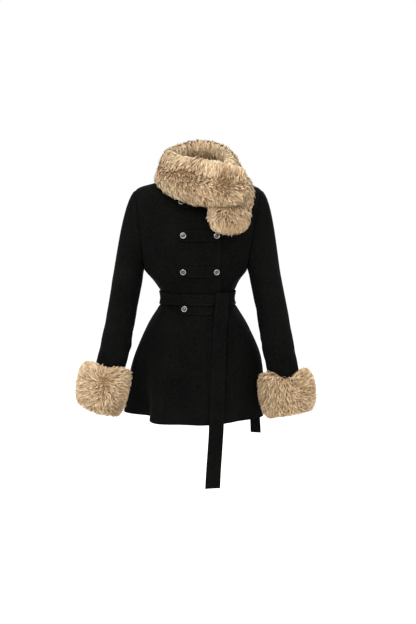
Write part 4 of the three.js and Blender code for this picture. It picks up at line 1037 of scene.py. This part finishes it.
# Fur on a form: guides are scattered by area and combed along the flow, and each draws a lock of strands
def fur(name, form, spanU, flow, locks, strands, tone, cuts=(), swell=lambda u, v: 0 * u, seed=1):
    numbers = np.random.default_rng(seed)
    depth = hair["depth"]
    tries = locks * 8
    u, v = numbers.uniform(*spanU, tries), numbers.uniform(0, 360, tries)
    root = form(u, v, -depth)
    du = (form(u + 0.01, v, 0) - form(u - 0.01, v, 0)) / 0.02
    dv = (form(u, v + 0.5, 0) - form(u, v - 0.5, 0))
    area = np.linalg.norm(np.cross(du, dv), axis=-1)
    keep = numbers.uniform(0, np.quantile(area, 0.98), tries) < area
    for cut in cuts:
        keep &= cut(root)
    chosen = np.flatnonzero(keep)[:locks]
    u, v, du, dv = u[chosen], v[chosen], du[chosen], dv[chosen]
    guides = len(chosen)
    scaleU, scaleV = np.linalg.norm(du, axis=-1), np.linalg.norm(dv, axis=-1)
    here = form(u, v, 0)
    wave, drift = noiseField(seed + 7, 34), noiseField(seed + 9, 60)
    phase = 2.4 * wave(here) + numbers.normal(0, 0.35, guides)
    long = hair["length"] * numbers.uniform(0.75, 1.15, guides)
    jitter = numbers.normal(0, 1.3, (2, guides))
    veer = numbers.normal(0, 0.16, guides)
    pathU, pathV = [u], [v]
    for step in range(hairSteps - 1):
        run, climb = flow(pathU[-1], pathV[-1])
        t = (step + 1) / (hairSteps - 1)
        lean = np.hypot(run, climb)
        turn = np.arctan2(climb, run) + 0.22 * drift(here) + veer
        turn = turn + 0.5 * np.cos(2 * math.pi * t * long / 30 + phase) * (0.4 + 0.6 * t)
        pace = lean * long / (hairSteps - 1) * (1.2 if step else 0.5)
        pathU.append(pathU[-1] + (np.cos(turn) * pace + jitter[0] * t) / scaleU)
        pathV.append(pathV[-1] + (np.sin(turn) * pace + jitter[1] * t) / scaleV)
    pathU, pathV = np.array(pathU), np.array(pathV)
    owner = numbers.integers(0, guides, strands)
    spread = numbers.normal(0, 1, (strands, 2))
    distance = np.linalg.norm(spread, axis=1, keepdims=True)
    spread = spread / distance * np.minimum(distance, 2.0) * 1.15
    t = np.linspace(0, 1, hairSteps)[:, None]
    hold = 1 - 0.7 * t ** 1.25
    splay = numbers.normal(0, 0.8, (2, 1, strands)) * t ** 2
    su = pathU[:, owner] + (spread[:, 0] * hold + splay[0]) / scaleU[owner]
    sv = pathV[:, owner] + (spread[:, 1] * hold + splay[1]) / scaleV[owner]
    lockLift = numbers.normal(-1.6, 1.8, guides)
    lift = lockLift[owner] + numbers.normal(0, 0.8, strands) + swell(u, v)[owner]
    stray = numbers.uniform(0, 1, strands) > 1 - hair["stray"]
    lift = lift + np.where(stray, numbers.uniform(1, 4, strands), 0)
    height = -depth + (depth + lift) * (1 - (1 - t) ** 1.7)
    su = np.clip(su, spanU[0] - 0.5, spanU[1] + 0.12)
    points = form(su, sv, height)
    for cut in cuts:
        points = cut(points, move=True)
    normals = formNormals(form, np.clip(su, spanU[0] + 0.03, spanU[1] - 0.03), sv) * signOf(form)
    along = unit(np.gradient(points, axis=0))
    sideways = unit(np.cross(along, normals))
    tilt = numbers.normal(0, 0.5, strands)[None, :, None]
    sideways = unit(sideways + normals * tilt)
    thick = (hair["width"] * numbers.uniform(0.75, 1.25, strands))[None, :] * np.array(hair["taper"])[:, None]
    half = sideways * thick[..., None] / 2
    left, right = points - half, points + half
    vertices = np.concatenate([left[:-1].reshape(-1, 3), right[:-1].reshape(-1, 3), points[-1]])
    body = (hairSteps - 1) * strands
    k, s = np.meshgrid(np.arange(hairSteps - 2), np.arange(strands), indexing="ij")
    a = (k * strands + s).ravel()
    b, c, d = body + a, body + a + strands, a + strands
    tips = np.arange(strands)
    lastRow = (hairSteps - 2) * strands
    faces = np.concatenate([np.stack([a, b, c], 1), np.stack([a, c, d], 1),
                            np.stack([lastRow + tips, body + lastRow + tips, 2 * body + tips], 1)])
    piece = makeObject(f"{name}_strands", vertices, faces, furMaterial)
    ramp = np.array([linear(code) for code in hair["tones"]])
    shade = np.clip(numbers.normal(0, 1, guides), -2, 2)
    toneWithShade = tone(u, v)
    # Each lock carries the painted light and shade of its place
    bright = (1 + 0.16 * shade) * toneWithShade
    # Dark locks are fewer where the painted light is strong
    dark = numbers.uniform(0, 1, guides) < 0.17 * np.clip((1.16 - toneWithShade) / 0.14, 0, 1.6)
    # Lower-lying locks are painted darker as shade, higher ones lighter
    bright = np.where(dark, bright * 0.66, bright * 1.03) * np.clip(1 + 0.08 * (lockLift + 1.5), 0.65, 1.22)
    warm = numbers.normal(0, 0.035, guides)
    pale = np.clip(bright - 1, -0.4, 0.4)
    tint = np.stack([1 + warm, 1 + 0.24 * pale, 1 - 1.5 * warm + 0.55 * pale], -1) * bright[:, None]
    colour = ramp[:, None, :] * tint[owner][None, :, :] * numbers.uniform(0.84, 1.14, strands)[None, :, None]
    colour = np.clip(colour, 0.004, 0.9)
    rows = np.concatenate([colour[:-1].reshape(-1, 3), colour[:-1].reshape(-1, 3), colour[-1]])
    attribute = piece.data.attributes.new("strandColour", "FLOAT_COLOR", "POINT")
    opaque = np.concatenate([rows, np.ones((len(rows), 1))], 1)
    attribute.data.foreach_set("color", opaque.astype(np.float32).ravel())
    facing = unit(np.cross(sideways, along))
    facing = facing * np.sign(np.sum(facing * normals, -1, keepdims=True) + 1e-9)
    shading = unit(normals * 0.55 + facing * 0.45)
    shading = np.concatenate([shading[:-1].reshape(-1, 3), shading[:-1].reshape(-1, 3), shading[-1]])
    piece.data.normals_split_custom_set_from_vertices(shading.astype(np.float32))
    print(name, "strands", strands, "locks", guides, "triangles", len(faces))
    return piece


# Backing under the hair, closed at both ends, coloured as painted shade between the locks
def formSkin(name, form, us, vs, depth, cuts=()):
    u, v = np.meshgrid(us, vs, indexing="ij")
    points = form(u, v, -depth(u, v))
    for cut in cuts:
        points = cut(points, move=True)
    closed = [np.broadcast_to(points[k].mean(0), points[k].shape)[None] for k in (0, -1)]
    points = np.concatenate([closed[0], points, closed[1]])
    rows, columns = points.shape[:2]
    r, c = np.meshgrid(np.arange(rows - 1), np.arange(columns), indexing="ij")
    r, c = r.ravel(), c.ravel()
    low, high, ahead = r * columns, (r + 1) * columns, (c + 1) % columns
    faces = np.stack([low + c, low + ahead, high + ahead, high + c], 1)
    flat = points.reshape(-1, 3)
    return makeObject(name, flat, facingOut(flat, faces), backing)


def outsideCoat(points, move=False):
    if move:
        return coatSurface.clear(points, 1.0, 9)
    height, sideways, _ = coatSurface.heights(points)
    return ~((height < -3) & (height > -60) & (sideways < 7))


rightU, rightV = np.meshgrid(np.linspace(0, 8, 70), np.arange(0, 360, 7.5), indexing="ij")
rightForm = lambda u, v, h: bandPoint("right", u, v, h)
leftForm = lambda u, v, h: bandPoint("left", u, v, h)
rightPoints = rightForm(rightU, rightV, 0)
rightNormals = formNormals(rightForm, np.clip(rightU, 0.03, 7.9), rightV)
rightOut = np.sum(rightNormals * (rightForm(rightU, rightV, 5) - rightPoints), -1, keepdims=True)
rightSurface = Surface(rightPoints, rightNormals * np.sign(rightOut))


def outsideRightBand(points, move=False):
    if move:
        return rightSurface.clear(points, -4.0, 6)
    height, sideways, _ = rightSurface.heights(points)
    return (height > -10) | (sideways > 8)


# How the collar is combed: from a wavy parting line on the outer face, up over the upper edge and down over
# the lower one. At the line the strands stand up, so that their dark roots show.
def collarFlow(along, partAt, standAt, last, sweep=lambda u: 1):
    def flow(u, v):
        part = partAt + 9 * np.sin(u * 2.1 + 0.6) + 5 * np.sin(u * 5.3)
        away = fromTurn(v, part)
        climb = np.tanh(away / 26)
        climb = np.where(np.abs(away) > 140, np.sin(np.radians(away)) * 0.8, climb) * sweep(u)
        run = along(u)
        for spot, width in standAt:
            calmHere = np.exp(-((u - spot) / width) ** 2 - (away / 42) ** 2)
            run, climb = run * (1 - 0.4 * calmHere), climb * (1 - 0.4 * calmHere)
        size = np.maximum(np.hypot(run, climb), 1) / (1 - 0.9 * smoothStep(last - 0.75, last - 0.15, u))
        return run / size, climb / size
    return flow


bandLast = {"right": 8, "left": 7}
rightFlow = collarFlow(lambda u: 0.45 * smoothStep(0.8, 4, u), 88, [(4.7, 0.55), (6.6, 0.45)],
                       bandLast["right"])
leftFlow = collarFlow(lambda u: 0.35 * smoothStep(0.8, 3, u) + 0.75 * smoothStep(3.8, 5, u), 88, [(5.2, 0.3)],
                      bandLast["left"], lambda u: 1 - 0.65 * smoothStep(3.8, 4.8, u))


# The collar's inner face, turned to the neck, is painted darker as shade, and its upper edge painted lighter as
# light from above.
# The strands are also darker or lighter in patches on and near the parting: place and turn, their widths, depth.
def collarShadeAndPatches(u, v, patches):
    inner = np.exp(-(fromTurn(v, 275) / 55) ** 2)
    upper = np.exp(-(fromTurn(v, 32) / 44) ** 2)
    # Painted shade on the inner face and painted light on the upper edge
    shade = 1 - 0.45 * inner + 0.18 * upper
    for spot, turn, widthU, widthV, depth in patches:
        shade = shade - depth * np.exp(-((u - spot) / widthU) ** 2 - (fromTurn(v, turn) / widthV) ** 2)
    return shade


rightPatches = [(4.6, 97, 0.6, 24, 0.22), (6.6, 84, 0.4, 32, 0.42), (5.75, 84, 0.3, 20, -0.16),
                (3.3, 100, 0.7, 60, -0.24)]
leftPatches = [(5.2, 84, 0.5, 30, 0.15), (6.2, 70, 0.16, 14, 0.25), (6.4, 112, 0.14, 12, 0.25),
               (6.2, 90, 1.2, 90, 0.13), (2.6, 50, 0.9, 60, -0.12)]
rightShadeAndPatches = lambda u, v: collarShadeAndPatches(u, v, rightPatches)
leftShadeAndPatches = lambda u, v: collarShadeAndPatches(u, v, leftPatches)


# Where the fur stands higher or lower than its form
def rightSwell(u, v):
    edge = 8 * np.exp(-((u - 4.7) / 0.7) ** 2 - (fromTurn(v, 0) / 40) ** 2)
    return edge - 5 * np.exp(-((u - 3.1) / 0.6) ** 2 - (fromTurn(v, 92) / 45) ** 2)


rightCuts, leftCuts = (outsideCoat,), (outsideCoat, outsideRightBand)
collarHair = {"locks": 10500, "strands": 36000}
collarRight = fur("collar_fur_right", rightForm, (-0.3, bandLast["right"]), rightFlow, tone=rightShadeAndPatches,
                  cuts=rightCuts, swell=rightSwell, seed=11, **collarHair)
place(collarRight, "collar_fur_right", slotName="tan_fur")
collarLeft = fur("collar_fur_left", leftForm, (-0.3, bandLast["left"]), leftFlow, tone=leftShadeAndPatches,
                 cuts=leftCuts, seed=23, **collarHair)
place(collarLeft, "collar_fur_left", slotName="tan_fur")


# The backing lies deep in the fur, but round the neck its lower edge comes down to the coat.
def collarDepth(u, v):
    return 8 - 6 * np.exp(-(fromTurn(v, 200) / 42) ** 2) * (1 - smoothStep(2.6, 3.6, u))


for side, form, cuts in (("right", rightForm, rightCuts), ("left", leftForm, leftCuts)):
    along = np.linspace(0, bandLast[side], 60)
    skin = formSkin(f"collar_backing_{side}", form, along, np.arange(0, 360, 6), collarDepth, cuts)
    place(skin, slotName="tan_fur")
print("collar done")


# A cuff is combed out from a whorl at its front, given as step and turn, and straight down at its back.
def cuffFlow(centre, turnCentre):
    def flow(u, v):
        across = fromTurn(v, turnCentre)
        run, climb = (u - centre) * 19, across * 1.35
        size = np.hypot(run, climb) + 6
        atBack = smoothStep(70, 130, np.abs(across))
        rim = smoothStep(0.9, 1.7, u)
        run = (run / size) * (1 - atBack) + atBack * (0.95 * rim - 0.6 * (1 - rim))
        climb = (climb / size) * (1 - atBack) + 0.12 * np.sin(np.radians(v * 5))
        return run, climb
    return flow


# Painted light and shade on the cuffs: light tips over the sleeve, a smooth lighter outer lobe, and painted
# shade in the creases and on the side by the skirt: step, turn, their widths, depth
cuffShadePatches = {
    -1: [(3.9, 95, 0.5, 14, 0.2), (5.9, 140, 0.9, 20, 0.42), (7, 150, 0.9, 24, 0.3), (3.4, 20, 2.2, 42, -0.14),
         (5.4, 118, 0.3, 8, 0.2)],
    1: [(4.4, 40, 0.45, 8, 0.35), (2.6, 15, 1.4, 40, -0.2), (5, 165, 3, 16, 0.25), (3.1, 70, 0.3, 14, 0.15),
        (4, 100, 6, 75, 0.14)],
}


def cuffPaintedShading(side):
    def tone(u, v):
        # Painted light along the upper rim
        shade = 1 + 0.1 * np.exp(-((u - 1.4) / 0.8) ** 2)
        for step, turn, widthU, widthV, depth in cuffShadePatches[side]:
            shade = shade - depth * np.exp(-((u - step) / widthU) ** 2 - (fromTurn(v, turn) / widthV) ** 2)
        return shade
    return tone


# Locks at the upper rim stand out in uneven tufts over the sleeve.
def rimTips(u, v):
    uneven = np.sin(np.radians(v) * 11 + 2 * np.sin(np.radians(v) * 3))
    return 5.5 * np.exp(-((u - 1.0) / 0.6) ** 2) * np.maximum(uneven, -0.25)


cuffHair = {"locks": 8500, "strands": 28500}
for side, name, centre, turnCentre in ((-1, "cuff_fur_right", 3.7, 96), (1, "cuff_fur_left", 1.5, 92)):
    form = lambda u, v, h, side=side: cuffPoint(side, u, v, h)
    piece = fur(name, form, (0.6, 8.4), cuffFlow(centre, turnCentre), tone=cuffPaintedShading(side), swell=rimTips,
                seed=31 + side, **cuffHair)
    place(piece, name, slotName="tan_fur")
    skin = formSkin(name.replace("fur", "backing"), form, np.linspace(0.2, 8.8, 40), np.arange(0, 360, 8),
                    lambda u, v: 8 + 0 * u)
    place(skin, slotName="tan_fur")
print("cuffs done")

# Camera, floor and lights, in metres
studio = {"cameraPlace": (0.029, -2.283, -0.103), "cameraTilt": 83, "lens": 45.756, "sensor": 36,
          "floor": -1.29}
scene = bpy.context.scene
cameraData = bpy.data.cameras.new("camera")
camera = bpy.data.objects.new("camera", cameraData)
scene.collection.objects.link(camera)
camera.location = studio["cameraPlace"]
camera.rotation_euler = Euler((math.radians(studio["cameraTilt"]), 0, 0))
cameraData.lens = studio["lens"]
cameraData.sensor_width = studio["sensor"]
cameraData.sensor_fit = "AUTO"
scene.camera = camera
scene.view_settings.view_transform = "Standard"

# Matt white paper for the floor
floorMaterial, _ = newMaterial("paleFloor", Base_Color=linear("#ffffff"), Roughness=1.0, Specular_IOR_Level=0.0)
floorCorners = [(x, y, studio["floor"]) for x, y in ((-9, -6), (9, -6), (9, 12), (-9, 12))]
floorPoints = np.array(floorCorners) / toMetres
floor = makeObject("studioFloor", floorPoints, [[0, 1, 2, 3]], floorMaterial)

world = bpy.data.worlds.new("studio")
world.use_nodes = True
world.node_tree.nodes["Background"].inputs["Color"].default_value = (1, 1, 1, 1)
world.node_tree.nodes["Background"].inputs["Strength"].default_value = 1.0
scene.world = world


def softLight(name, location, target, width, watts):
    data = bpy.data.lights.new(name, "AREA")
    data.shape, data.size, data.energy = "SQUARE", width, watts
    light = bpy.data.objects.new(name, data)
    light.location = location
    light.rotation_euler = (Vector(target) - Vector(location)).to_track_quat("-Z", "Y").to_euler()
    scene.collection.objects.link(light)


# Name, place, what it looks at, width, watts
softLight("keySoftbox", (-1.3, -2.4, 1.9), (0, 0, -0.3), 1.6, 55)
softLight("fillSoftbox", (2.2, -1.9, 0.4), (0, 0, -0.4), 1.8, 16)
softLight("topSoftbox", (0.1, -0.9, 2.5), (0, 0, -0.2), 1.4, 30)
softLight("backSoftbox", (0.6, 2.2, 1.8), (0, 0, -0.2), 1.6, 40)
